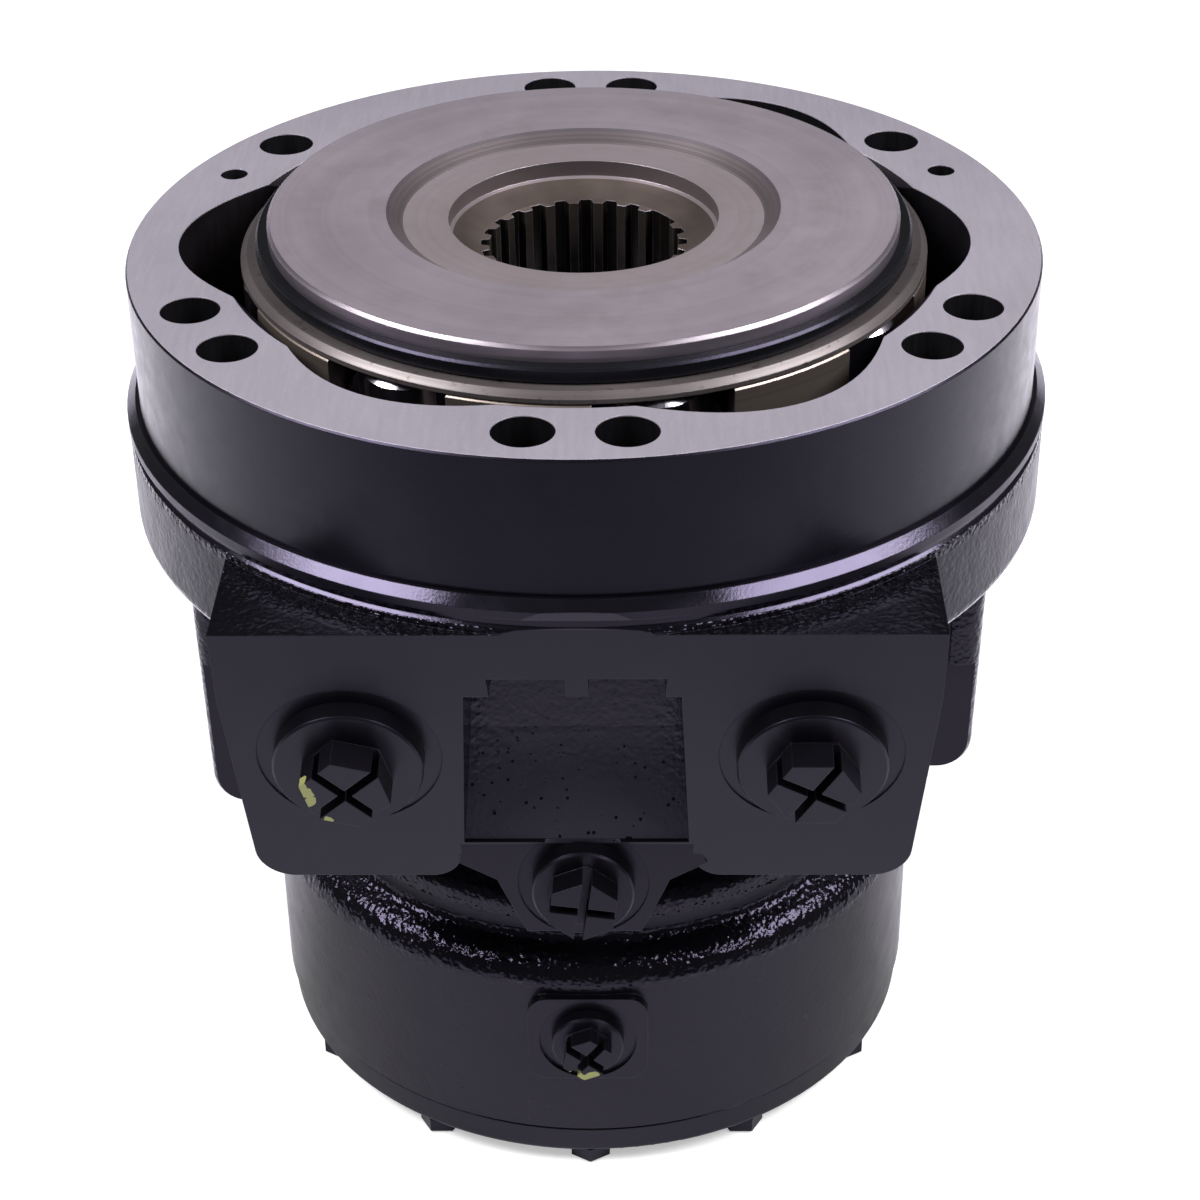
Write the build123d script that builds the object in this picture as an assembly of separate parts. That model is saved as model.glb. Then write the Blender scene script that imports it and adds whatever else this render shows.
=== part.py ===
from build123d import *
import os
from math import cos, radians, sin, sqrt, tan

# Hydraulic drive motor, standing on its rear cover with the mounting face up.
# Units are millimetres. The origin is the centre of the cam ring mounting face.
# +Z points out of that face along the drive axis and the port face looks along -Y.

# Driving dimensions
CAM_HEIGHT = 33.5             # thickness of the cam ring
SEAT_GAP = 0.3                # axial gap where one body runs over another
SLIDE_CLEARANCE = 0.05        # radial clearance of turning and sliding fits

# Cam curve: six lobes whose lift alternates between high and low
LOBE_COUNT = 6
ROLLER_RADIUS = 10.0
INNER_ROLLER_PATH = 73.6      # roller centre at the inner dead points
HIGH_LIFT = 14.5
LOW_LIFT = 9.65
CAM_POINTS_PER_LOBE = 14
CAM_CHAMFER_WIDTH = 3.6
CAM_CHAMFER_DEPTH = 4.0

# Mounting holes between the lobes: six pairs, one hole of two of the pairs is a small one
BOLT_PAIR_COUNT = 6
BOLT_PAIR_HALF_ANGLE = 6.507
BOLT_HOLE_RADIUS = 7.0
BOLT_INSET = 14.5             # from the inner dead points of the cam to the bolt circle
BOLT_EDGE = 11.9              # from the bolt circle to the outside of the cam ring
BOLT_CIRCLE_RADIUS = INNER_ROLLER_PATH + ROLLER_RADIUS + BOLT_INSET
CAM_RADIUS = BOLT_CIRCLE_RADIUS + BOLT_EDGE
SMALL_HOLE_RADIUS = 3.45
SMALL_HOLE_ANGLES = (30 - BOLT_PAIR_HALF_ANGLE, 150 + BOLT_PAIR_HALF_ANGLE)
SMALL_HOLE_DEPTH = 14.0       # below the cam ring, in the housing

# Rotor: cylinder block with radial pistons
PISTON_COUNT = 8
FIRST_PISTON_ANGLE = 13.4
REST_ROLLER_GAP = 1.0         # between cam and rollers with the pistons drawn in
REST_ROLLER_PATH = INNER_ROLLER_PATH - REST_ROLLER_GAP
PAD_CLEARANCE = 0.9           # between the cam's inner dead points and the pads
BLOCK_RADIUS = INNER_ROLLER_PATH + ROLLER_RADIUS - PAD_CLEARANCE
PLATE_WIDTH = 6.8             # of the retaining plates on the pads
DISC_RADIUS = BLOCK_RADIUS - PLATE_WIDTH
PAD_TOP = -1.6
ROLLER_LENGTH = CAM_HEIGHT - 5.5
PAD_HEIGHT = ROLLER_LENGTH + 1.8
PAD_BOTTOM = PAD_TOP - PAD_HEIGHT
BORE_PLANE = (PAD_TOP + PAD_BOTTOM) / 2
PISTON_RADIUS = 16.0
PISTON_LENGTH_BELOW_ROLLER = 17.5
PISTON_WRAP = 3.0             # height of the piston above the roller centre
SLOT_INNER_END = REST_ROLLER_PATH - 6.6
SLOT_HALF_WIDTH = PISTON_RADIUS + SLIDE_CLEARANCE
DISC_TOP = 8.6
RECESS_DEPTH = 2.7
COUNTERBORE_RADIUS = 32.6
COUNTERBORE_DEPTH = 4.0
BLOCK_REAR = -CAM_HEIGHT - 6.5
PLATE_THICKNESS = 2.5
LOWER_PLATE_THICKNESS = 2.4
RING_GROOVE_DEPTH = 2.4
RING_GROOVE_RADIUS = DISC_RADIUS - RING_GROOVE_DEPTH
RETAINING_RING_REACH = 3.0    # past the disc
RETAINING_RING_HEIGHT = 3.6
PLATE_TOP = PAD_TOP + PLATE_THICKNESS
RETAINING_RING_FOOT = PLATE_TOP + 0.4

# Internal spline, module 2 with 24 places, one of them without its tooth
SPLINE_COUNT = 24
SPLINE_TIP_RADIUS = 23.0
SPLINE_DEPTH = 2.0
SPLINE_ROOT_RADIUS = SPLINE_TIP_RADIUS + SPLINE_DEPTH
SPLINE_GROOVE_WIDTHS = (4.1, 2.6)   # at the tip radius and at the root radius
SPLINE_LEAD_IN = 3.2
MISSING_TOOTH_ANGLE = 37.5

# Distributor and its stepped bore, as (radius, height of the step's lower end)
SHAFT_RADIUS = 20.5
SHAFT_HOLE_RADIUS = SHAFT_RADIUS + 3.5
DISTRIBUTOR_RADIUS = 62.0
DISTRIBUTOR_TOP = BLOCK_REAR - SEAT_GAP
DISTRIBUTOR_STEPS = (
    (DISTRIBUTOR_RADIUS, DISTRIBUTOR_TOP - 12.7),
    (DISTRIBUTOR_RADIUS - 7, DISTRIBUTOR_TOP - 29.7),
    (DISTRIBUTOR_RADIUS - 14, DISTRIBUTOR_TOP - 47.7),
    (DISTRIBUTOR_RADIUS - 20, DISTRIBUTOR_TOP - 63.7))
DISTRIBUTOR_GAP = 0.15
SPRING_HEIGHT = 3.0           # of the spring washer below the distributor
DISTRIBUTOR_FOOT_RADIUS, DISTRIBUTOR_FOOT = DISTRIBUTOR_STEPS[-1]
DISTRIBUTOR_FLOOR = DISTRIBUTOR_FOOT - SPRING_HEIGHT
HUB_RADIUS = DISTRIBUTOR_RADIUS - 2.0
FACE_PORT_COUNT = 12
FACE_PORT_CIRCLE = DISTRIBUTOR_RADIUS - 17.0
FACE_PORT_RADIUS = 3.6
FACE_PORT_DEPTH = 22.0
DEEP_PORT_DEPTH = 41.7
DEEP_PORT_INSET = 2.0
FEED_RADIUS = 4.0
BORE_INNER_END = FACE_PORT_CIRCLE - FEED_RADIUS - 2.0   # the piston bores reach past the feeds
GALLERIES = (                 # height and radius in the housing
    (DISTRIBUTOR_TOP - 21.2, DISTRIBUTOR_RADIUS - 1.5),
    (DISTRIBUTOR_TOP - 38.7, DISTRIBUTOR_RADIUS - 5.0))
GALLERY_HALF_HEIGHT = 4.0
GALLERY_DRILL_RADIUS = 2.6
MAIN_DRILL_RADIUS = 6.0
DRAIN_DRILL_RADIUS = 4.0
BRAKE_DRILL_RADIUS = 2.5
SEAL_GROOVE = 2.0
SEAL_GROOVE_HALF_HEIGHT = 1.3
SEAL_FREE_PLAY = 0.1
SEAL_ABOVE_STEP = (6.0, 3.0, 2.0, 6.0)      # of each seal above its step's lower end
PIN_RADIUS = 3.0
PIN_DEPTH = 6.0
PIN_CIRCLE = (SHAFT_HOLE_RADIUS + DISTRIBUTOR_FOOT_RADIUS) / 2

# Parking brake
PACK_RADIUS = 62.0
PACK_WIDTH = 22.0
TAB_RADIUS = PACK_RADIUS + 4.0
TAB_COUNT = 8
TAB_HALF_WIDTH = 6.0
OUTER_PLATE_COUNT = 5
OUTER_PLATE_THICKNESS = 2.0
INNER_DISC_COUNT = 4
INNER_DISC_THICKNESS = 2.2
SMALL_PISTON_RADIUS = PACK_RADIUS + 6.0
LARGE_PISTON_RADIUS = SMALL_PISTON_RADIUS + 5.5
BRAKE_PISTON_BORE = PACK_RADIUS - PACK_WIDTH
HUB_TOOTH_COUNT = 12
BRAKE_HUB_RADIUS = BRAKE_PISTON_BORE - 7.0
HUB_TOOTH_RADIUS = BRAKE_HUB_RADIUS + 3.0
HUB_TOOTH_HALF_WIDTH = 3.5
JOURNAL_RADIUS = 14.0
BUSH_OUTER_RADIUS = JOURNAL_RADIUS + 3.0

# Rear cover
SCREW_COUNT = 12
SCREW_CIRCLE = LARGE_PISTON_RADIUS + 5.5
SCREW_RADIUS = 3.0
SCREW_HEAD_WIDTH = 10.0
SCREW_HEAD_HEIGHT = 4.0
SCREW_LENGTH_IN_HOUSING = 14.0

# Housing, outside
FLANGE_TOP = -CAM_HEIGHT
FLANGE_OVERHANG = 3.3         # past the cam ring
FLANGE_RADIUS = CAM_RADIUS + FLANGE_OVERHANG
FLANGE_BOTTOM = FLANGE_TOP - 31.5
BOLT_ACCESS_RADIUS = 12.6
BARREL_RADIUS = BOLT_CIRCLE_RADIUS - BOLT_ACCESS_RADIUS - 0.5
LOWER_RADIUS = SCREW_CIRCLE + 7.2
LOWER_TOP = FLANGE_TOP - 125.5
HOUSING_BOTTOM = FLANGE_TOP - 177.8
EDGE_CHAMFER = 0.8
BOLT_SEAT = FLANGE_TOP - 23.5

# Port block, whose face leans back towards its lower edge
PORT_TILT = 10.5
PORT_FACE_Y = -CAM_RADIUS + 5.0     # at the height of the two main ports
MAIN_PORT_X = 52.0
MAIN_PORT_Z = FLANGE_TOP - 45.5
BLOCK_HALF_WIDTH = 80.0
PORT_BLOCK_TOP = FLANGE_TOP - 8.5
PORT_BLOCK_BOTTOM = MAIN_PORT_Z - 39.6
PORT_BLOCK_REAR = PORT_FACE_Y + 43.0
BLOCK_TAPER_TOP = MAIN_PORT_Z + 17.0
BLOCK_TAPER = 4.2             # of each side of the block towards its lower edge
BLOCK_CORNER = 9.0
PAD_INNER_X = 27.0
PAD_INNER_CORNER = 7.0
POCKET_X = -1.4
POCKET_HALF_WIDTH = 24.3
POCKET_TAPER = 2.5            # of each side towards the pocket's top
POCKET_DRAFT = 3.0            # degrees, towards the back wall
POCKET_TOP = MAIN_PORT_Z + 18.8
POCKET_BOTTOM = MAIN_PORT_Z - 29.0
POCKET_WALL_Y = PORT_FACE_Y + 16.0
POCKET_RAMP_HEIGHT = 26.0
BOLT_SLOT_INNER_X = 2.4       # from the tab's middle to the rooms of the two front bolts
BOLT_SLOT_OUTER_X = 20.0
BOLT_SLOT_MIDDLE = -0.4
FRONT_BOLT_SEAT = FLANGE_TOP - 21.5

# Drain port boss and brake port pad
DRAIN_PORT_Z = MAIN_PORT_Z - 41.0
DRAIN_FACE_Y = PORT_FACE_Y + 6.0
BRAKE_PORT_Z = LOWER_TOP - 19.8
BRAKE_PAD_Y = -LOWER_RADIUS - 1.8
BRAKE_PAD_HALF_WIDTH = 15.0
BRAKE_PAD_TOP = BRAKE_PORT_Z + 13.3
BRAKE_PAD_BOTTOM = BRAKE_PORT_Z - 12.7

# Side lugs
LUG_X = BLOCK_HALF_WIDTH + 21.0
LUG_HALF_WIDTH = 27.0
LUG_BOTTOMS = {-1: FLANGE_TOP - 118.5, 1: FLANGE_TOP - 107.5}
LUG_STEP = FLANGE_TOP - 73.5
LUG_STEP_DEPTH = 1.5
LUG_RIB_WIDTH = 9.0
LUG_CORNER = 9.0
LUG_EDGE = 5.0

# Ports as (spotface radius, spotface depth, thread radius, thread depth)
MAIN_PORT = (20.9, 0.4, 13.5, 20.0)
DRAIN_PORT = (15.4, 0.4, 9.5, 15.0)
BRAKE_PORT = (12.2, 0.9, 7.2, 12.0)
# Plugs as (flange radius, flange height, head width across flats, head height)
MAIN_PLUG = (17.0, 5.0, 18.0, 7.5)
DRAIN_PLUG = (12.0, 4.8, 15.2, 6.5)
BRAKE_PLUG = (9.0, 3.5, 11.2, 5.0)
LEFT_PLUG_TURN = 44.0
RIGHT_PLUG_TURN = 60.0
DRAIN_PLUG_TURN = 82.0
BRAKE_PLUG_TURN = -38.0
PLUG_SLOT_WIDTH = 2.2
PLUG_THREAD_GAP = 0.1
PLUG_SEAL_DEPTH = 1.6

# Brake and cover heights
BRAKE_TOP = FLANGE_TOP - 116.5
BRAKE_STEP = HOUSING_BOTTOM + 31.3
COVER_RADIUS = LOWER_RADIUS - 1.0
COVER_BOTTOM = HOUSING_BOTTOM - 8.4
COVER_FLOOR = HOUSING_BOTTOM + 4.3
FOOT_BOTTOM = COVER_BOTTOM - 4.5
BEARING_FLOOR = COVER_FLOOR - 9.0

pack_height = (OUTER_PLATE_COUNT * OUTER_PLATE_THICKNESS
               + INNER_DISC_COUNT * INNER_DISC_THICKNESS
               + 2 * INNER_DISC_COUNT * SEAT_GAP)
pack_bottom = BRAKE_TOP - pack_height
port_plane_slope = tan(radians(PORT_TILT))


# Small helpers
def revolved(outline):
    """Solid of revolution about Z from (radius, height) points, a third value rounds a corner."""
    face = make_face(Polyline(*[(point[0], point[1]) for point in outline], close=True))
    for point in outline:
        if len(point) == 3:
            corner = face.vertices().sort_by_distance((point[0], point[1], 0))[0]
            face = fillet(corner, point[2])
    return revolve(Plane.XZ * face, Axis.Z)


def ring(outer, inner, low, high):
    """Plain annulus between two heights."""
    return revolved([(inner, low), (outer, low), (outer, high), (inner, high)])


def rod(radius, low, high, x=0.0, y=0.0):
    """Upright cylinder between two heights."""
    return Pos(x, y, (low + high) / 2) * Cylinder(radius, high - low)


def block(x_range, y_range, z_range):
    """Box from its three ranges."""
    size = [high - low for low, high in (x_range, y_range, z_range)]
    middle = [(low + high) / 2 for low, high in (x_range, y_range, z_range)]
    return Pos(*middle) * Box(*size)


def around(shape, count, first=0.0):
    """Copies of a shape spaced evenly about Z."""
    return [Rot(0, 0, first + index * 360 / count) * shape for index in range(count)]


def on_circle(radius, angle):
    """Point in plan from a radius and an angle in degrees."""
    return radius * cos(radians(angle)), radius * sin(radians(angle))


def drilling(start, end, radius):
    """Round bore between two points."""
    path = Vector(*end) - Vector(*start)
    frame = Plane(origin=start, z_dir=path)
    return frame * Pos(0, 0, path.length / 2) * Cylinder(radius, path.length)


def port_plane_y(z):
    """Depth of the leaning port face at a height."""
    return PORT_FACE_Y - (z - MAIN_PORT_Z) * port_plane_slope


# Places shared by several pieces
def main_port_plane(side):
    """Frame on the port face at a main port, its Z pointing out of the port."""
    tilt = radians(PORT_TILT)
    origin = (side * MAIN_PORT_X, PORT_FACE_Y, MAIN_PORT_Z)
    return Plane(origin=origin, x_dir=(1, 0, 0), z_dir=(0, -cos(tilt), -sin(tilt)))


drain_port_plane = Plane(origin=(0, DRAIN_FACE_Y, DRAIN_PORT_Z), x_dir=(1, 0, 0), z_dir=(0, -1, 0))
brake_port_plane = Plane(origin=(0, BRAKE_PAD_Y, BRAKE_PORT_Z), x_dir=(1, 0, 0), z_dir=(0, -1, 0))

bolt_angles = []
for pair in range(BOLT_PAIR_COUNT):
    centre_angle = 30 + pair * 360 / BOLT_PAIR_COUNT
    for angle in (centre_angle - BOLT_PAIR_HALF_ANGLE, centre_angle + BOLT_PAIR_HALF_ANGLE):
        if angle not in SMALL_HOLE_ANGLES:
            bolt_angles.append(angle)


# Cam ring
def roller_path(angle):
    """Radius of the roller centre on the cam and its slope per radian."""
    lobe = round(angle * LOBE_COUNT / 360)
    offset = radians((angle - lobe * 360 / LOBE_COUNT) * LOBE_COUNT)
    lift = HIGH_LIFT if lobe % 2 else LOW_LIFT
    radius = INNER_ROLLER_PATH + lift * (1 + cos(offset)) / 2
    slope = -lift * LOBE_COUNT * sin(offset) / 2
    return radius, slope


def cam_surface_point(angle):
    """Point of the running surface, one roller radius outside the roller centre."""
    radius, slope = roller_path(angle)
    length = sqrt(radius ** 2 + slope ** 2)
    outward = ROLLER_RADIUS * radius / length
    sideways = -ROLLER_RADIUS * slope / length
    c, s = cos(radians(angle)), sin(radians(angle))
    return ((radius + outward) * c - sideways * s, (radius + outward) * s + sideways * c)


def cam_opening():
    """Hollow of the cam ring, through its whole height."""
    count = LOBE_COUNT * CAM_POINTS_PER_LOBE
    points = [cam_surface_point(index * 360 / count) for index in range(count)]
    outline = make_face(Spline(*points, periodic=True))
    return Pos(0, 0, -CAM_HEIGHT - 1) * extrude(outline, CAM_HEIGHT + 2)


def cam_ring():
    shape = revolved([(0, -CAM_HEIGHT), (CAM_RADIUS, -CAM_HEIGHT),
                      (CAM_RADIUS, -0.5), (CAM_RADIUS - 0.5, 0), (0, 0)])
    shape -= cam_opening()
    inner = INNER_ROLLER_PATH + ROLLER_RADIUS - 0.4
    shape -= revolved([(0, 0.1), (inner + CAM_CHAMFER_WIDTH + 0.5, 0.1),
                       (inner, -CAM_CHAMFER_DEPTH), (0, -CAM_CHAMFER_DEPTH)])
    for angle in bolt_angles:
        shape -= rod(BOLT_HOLE_RADIUS, -CAM_HEIGHT - 1, 1, *on_circle(BOLT_CIRCLE_RADIUS, angle))
    for angle in SMALL_HOLE_ANGLES:
        shape -= rod(SMALL_HOLE_RADIUS, -CAM_HEIGHT - 1, 1, *on_circle(BOLT_CIRCLE_RADIUS, angle))
    return shape


# Housing
CAM_SEAL_INSET = 2.8
CAM_SEAL_RADIUS = CAM_RADIUS - CAM_SEAL_INSET
CAM_SEAL_SECTION = 1.0
CAM_SEAL_GROOVE_HALF_WIDTH = 1.2
LIP_HEIGHT = 4.2              # turned lip under the cam ring, with a groove below it
LIP_CHAMFER = 2.2
NECK_RADIUS = 70.0
COLLAR_RADIUS = 77.0          # between the neck and the lower housing


def housing_outside():
    """Turned and cast outside of the housing, without port block and lugs."""
    groove_radius = FLANGE_RADIUS - 1.3
    lip_foot = FLANGE_TOP - LIP_HEIGHT
    return revolved([
        (0, FLANGE_TOP), (FLANGE_RADIUS - LIP_CHAMFER, FLANGE_TOP),
        (FLANGE_RADIUS, FLANGE_TOP - LIP_CHAMFER), (FLANGE_RADIUS, lip_foot),
        (groove_radius, lip_foot - 0.4), (groove_radius, lip_foot - 2.2),
        (groove_radius + 0.9, lip_foot - 3.0), (groove_radius + 1.1, lip_foot - 3.8),
        (groove_radius + 1.1, FLANGE_BOTTOM, 4.0), (BARREL_RADIUS, FLANGE_BOTTOM - 4, 3.0),
        (BARREL_RADIUS, LOWER_TOP + 43.0, 8.0), (NECK_RADIUS, LOWER_TOP + 28.0, 6.0),
        (NECK_RADIUS, LOWER_TOP + 19.0, 5.0), (COLLAR_RADIUS, LOWER_TOP + 14.0, 5.0),
        (COLLAR_RADIUS, LOWER_TOP + 4.0, 3.0),
        (LOWER_RADIUS, LOWER_TOP, 8.0), (LOWER_RADIUS, HOUSING_BOTTOM + EDGE_CHAMFER),
        (LOWER_RADIUS - EDGE_CHAMFER, HOUSING_BOTTOM), (0, HOUSING_BOTTOM)])


def facing_front(y):
    """Upright plane at a depth, whose normal is -Y and whose own axes are X and Z."""
    return Plane(origin=(0, y, 0), x_dir=(1, 0, 0), z_dir=(0, -1, 0))


def port_block():
    """Block that carries the two main ports, with a notch for the drain boss."""
    half, low_half = BLOCK_HALF_WIDTH, BLOCK_HALF_WIDTH - BLOCK_TAPER
    left, right = POCKET_X - PAD_INNER_X, POCKET_X + PAD_INNER_X
    low_corners = [(low_half, PORT_BLOCK_BOTTOM), (-low_half, PORT_BLOCK_BOTTOM)]
    notch_corners = [(right, PORT_BLOCK_BOTTOM), (left, PORT_BLOCK_BOTTOM)]
    outline = make_face(Polyline(
        (-half, PORT_BLOCK_TOP), (half, PORT_BLOCK_TOP), (half, BLOCK_TAPER_TOP),
        low_corners[0], notch_corners[0], (right, POCKET_BOTTOM), (left, POCKET_BOTTOM),
        notch_corners[1], low_corners[1], (-half, BLOCK_TAPER_TOP), close=True))
    for corners, radius in ((low_corners, BLOCK_CORNER), (notch_corners, PAD_INNER_CORNER)):
        found = [outline.vertices().sort_by_distance((x, z, 0))[0] for x, z in corners]
        outline = fillet(found, radius)
    return extrude(facing_front(PORT_BLOCK_REAR) * outline, CAM_RADIUS + 20 + PORT_BLOCK_REAR)


def front_of_port_plane():
    """Everything in front of the leaning port face."""
    low = PORT_BLOCK_BOTTOM - 11.4
    high = FLANGE_TOP - 0.5
    front = -CAM_RADIUS - 40
    outline = make_face(Polyline((port_plane_y(low), low), (port_plane_y(high), high),
                                 (front, high), (front, low), close=True))
    reach = BLOCK_HALF_WIDTH + 20
    return Pos(-reach, 0, 0) * extrude(Plane.YZ * outline, 2 * reach)


def drain_boss():
    """Boss below the pocket that carries the drain port."""
    top_half = PAD_INNER_X + 2
    outline = make_face(Polyline(
        (POCKET_X - PAD_INNER_X, POCKET_BOTTOM), (POCKET_X + PAD_INNER_X, POCKET_BOTTOM),
        (top_half, DRAIN_PORT_Z + 6.0), (20.3, DRAIN_PORT_Z + 1.0), (18.4, DRAIN_PORT_Z - 3.5),
        (13.6, DRAIN_PORT_Z - 14.5), (-13.6, DRAIN_PORT_Z - 14.5), (-18.4, DRAIN_PORT_Z - 3.5),
        (-20.3, DRAIN_PORT_Z + 1.0), (-top_half, DRAIN_PORT_Z + 6.0), close=True))
    rear = PORT_BLOCK_REAR + 2.0
    return extrude(facing_front(rear) * outline, rear - DRAIN_FACE_Y)


def pocket_ramp():
    """Cast ramp at the pocket's foot, which curves up from the drain boss to the back wall."""
    top = POCKET_BOTTOM + POCKET_RAMP_HEIGHT
    depth = POCKET_WALL_Y - DRAIN_FACE_Y
    foot, head = (DRAIN_FACE_Y, POCKET_BOTTOM), (POCKET_WALL_Y, top)
    middle = (DRAIN_FACE_Y + 0.62 * depth, POCKET_BOTTOM + 0.42 * POCKET_RAMP_HEIGHT)
    rear = POCKET_WALL_Y + 10
    curve = ThreePointArc(foot, middle, head)
    outline = make_face([curve, Polyline(head, (rear, top), (rear, POCKET_BOTTOM), foot)])
    reach = PAD_INNER_X + POCKET_TAPER
    return Pos(POCKET_X - reach, 0, 0) * extrude(Plane.YZ * outline, 2 * reach)


def pocket():
    """Cast pocket between the main ports, with rooms for the heads of the two front bolts."""
    narrow, wide = POCKET_HALF_WIDTH, POCKET_HALF_WIDTH + POCKET_TAPER
    front = PORT_FACE_Y - 8.0
    outline = make_face(Polyline(
        (POCKET_X - narrow, POCKET_TOP), (POCKET_X + narrow, POCKET_TOP),
        (POCKET_X + wide, POCKET_BOTTOM), (POCKET_X - wide, POCKET_BOTTOM), close=True))
    back = Plane(origin=(0, front, 0), x_dir=(-1, 0, 0), z_dir=(0, 1, 0))
    mirrored = mirror(outline, Plane.YZ)
    shape = extrude(back * mirrored, POCKET_WALL_Y - front, taper=POCKET_DRAFT)
    shape -= pocket_ramp()
    for side in (-1, 1):
        inner = BOLT_SLOT_MIDDLE + side * BOLT_SLOT_INNER_X
        outer = BOLT_SLOT_MIDDLE + side * BOLT_SLOT_OUTER_X
        room = make_face(Polyline(
            (-inner, FRONT_BOLT_SEAT), (-outer, FRONT_BOLT_SEAT),
            (-outer + side * 0.6, POCKET_TOP - 3), (-inner, POCKET_TOP - 3), close=True))
        shape += extrude(back * room, POCKET_WALL_Y - front, taper=POCKET_DRAFT / 2)
    return shape


def side_lug(side):
    """Cast lug beside the barrel, with a rib along its outer front edge."""
    bottom = LUG_BOTTOMS[side]
    top = FLANGE_BOTTOM + 3
    inner, low_outer = side * (LUG_X - 46), side * (LUG_X - 1.5)
    outline = make_face(Polyline((inner, top), (side * LUG_X, top), (low_outer, bottom),
                                 (inner, bottom), close=True))
    outline = fillet(outline.vertices().sort_by_distance((low_outer, bottom, 0))[0], LUG_CORNER)
    shape = extrude(facing_front(LUG_HALF_WIDTH) * outline, 2 * LUG_HALF_WIDTH)
    outer_edges = [edge for edge in shape.edges().filter_by(GeomType.LINE)
                   if abs(edge.center().X) > LUG_X - 3 and abs(edge.center().Y) > LUG_HALF_WIDTH - 1]
    shape = fillet(outer_edges, LUG_EDGE)
    front = (-LUG_HALF_WIDTH - 1, -LUG_HALF_WIDTH + LUG_STEP_DEPTH)
    beside_rib = sorted((side * (LUG_X - 47), side * (LUG_X - LUG_RIB_WIDTH)))
    whole_width = sorted((side * (LUG_X - 47), side * (LUG_X + 1)))
    shape -= block(whole_width, front, (bottom - 1, LUG_STEP))
    return shape - block(beside_rib, front, (LUG_STEP - 1, FLANGE_BOTTOM))


def brake_port_pad():
    """Machined pad of the brake port on the lower housing."""
    middle = (BRAKE_PAD_TOP + BRAKE_PAD_BOTTOM) / 2
    outline = Pos(0, middle) * RectangleRounded(2 * BRAKE_PAD_HALF_WIDTH,
                                                BRAKE_PAD_TOP - BRAKE_PAD_BOTTOM, 5.0)
    rear = -LOWER_RADIUS + 16.2
    pad = extrude(facing_front(rear) * outline, rear - BRAKE_PAD_Y)
    shelf = block((-BRAKE_PAD_HALF_WIDTH, BRAKE_PAD_HALF_WIDTH),
                  (-LOWER_RADIUS + 2.2, -LOWER_RADIUS + 20.2), (BRAKE_PAD_TOP - 8, BRAKE_PAD_TOP + 2))
    return pad + shelf


def port_cut(port, plane):
    """Spotface and tapped hole of a port."""
    face_radius, face_depth, thread_radius, thread_depth = port
    spotface = Pos(0, 0, 5 - face_depth / 2) * Cylinder(face_radius, 10 + face_depth)
    thread = Pos(0, 0, -thread_depth / 2) * Cylinder(thread_radius, thread_depth + 0.02)
    return plane * (spotface + thread)


def housing_inside():
    """Hollow of the housing, from the cam ring down to the rear cover."""
    gap = DISTRIBUTOR_GAP
    rotor_room = BLOCK_RADIUS + 1.8
    height = BLOCK_REAR + 3.0
    outline = [(0, FLANGE_TOP + 1), (rotor_room, FLANGE_TOP + 1), (rotor_room, height)]
    for radius, low in DISTRIBUTOR_STEPS:
        outline += [(radius + gap, height), (radius + gap, low - 1.0)]
        height = low - 1.0
    outline[-1] = (DISTRIBUTOR_FOOT_RADIUS + gap, DISTRIBUTOR_FLOOR)
    outline += [(SHAFT_HOLE_RADIUS, DISTRIBUTOR_FLOOR), (SHAFT_HOLE_RADIUS, BRAKE_TOP),
                (PACK_RADIUS, BRAKE_TOP), (PACK_RADIUS, pack_bottom - 1.0),
                (SMALL_PISTON_RADIUS, pack_bottom - 1.0), (SMALL_PISTON_RADIUS, BRAKE_STEP),
                (LARGE_PISTON_RADIUS, BRAKE_STEP), (LARGE_PISTON_RADIUS, HOUSING_BOTTOM - 1),
                (0, HOUSING_BOTTOM - 1)]
    return revolved(outline)


def oil_ways():
    """Galleries round the distributor and the drillings that feed them."""
    inside = DISTRIBUTOR_FOOT_RADIUS - 2.0
    cuts = [ring(radius, inside, height - GALLERY_HALF_HEIGHT, height + GALLERY_HALF_HEIGHT)
            for height, radius in GALLERIES]
    for side, (height, radius) in zip((1, -1), GALLERIES):
        x = side * MAIN_PORT_X
        start = (x, PORT_FACE_Y + MAIN_PORT[3] - 2.0, MAIN_PORT_Z)
        cuts.append(drilling(start, (x, -14, height), MAIN_DRILL_RADIUS))
    cuts.append(drilling((0, DRAIN_FACE_Y + DRAIN_PORT[3] - 1.0, DRAIN_PORT_Z),
                         (0, -SHAFT_HOLE_RADIUS + 4.0, DRAIN_PORT_Z), DRAIN_DRILL_RADIUS))
    cuts.append(drilling((0, BRAKE_PAD_Y + BRAKE_PORT[3] - 1.0, BRAKE_PORT_Z),
                         (0, -SMALL_PISTON_RADIUS + 2.0, BRAKE_PORT_Z), BRAKE_DRILL_RADIUS))
    return cuts


def flange_bolt_cuts():
    """Bolt holes through the flange with room for the bolt heads below it."""
    cuts = []
    for angle in bolt_angles:
        x, y = on_circle(BOLT_CIRCLE_RADIUS, angle)
        at_front = y < -0.95 * BOLT_CIRCLE_RADIUS
        seat = FRONT_BOLT_SEAT if at_front else BOLT_SEAT
        cuts.append(rod(BOLT_HOLE_RADIUS, seat - 1, FLANGE_TOP + 1, x, y))
        if not at_front:
            low = PORT_BLOCK_BOTTOM - 20
            cuts.append(rod(BOLT_ACCESS_RADIUS, low, seat, x, y) - rod(BARREL_RADIUS, low, seat))
    for angle in SMALL_HOLE_ANGLES:
        x, y = on_circle(BOLT_CIRCLE_RADIUS, angle)
        cuts.append(rod(SMALL_HOLE_RADIUS, FLANGE_TOP - SMALL_HOLE_DEPTH, FLANGE_TOP + 1, x, y))
    return cuts


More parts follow.
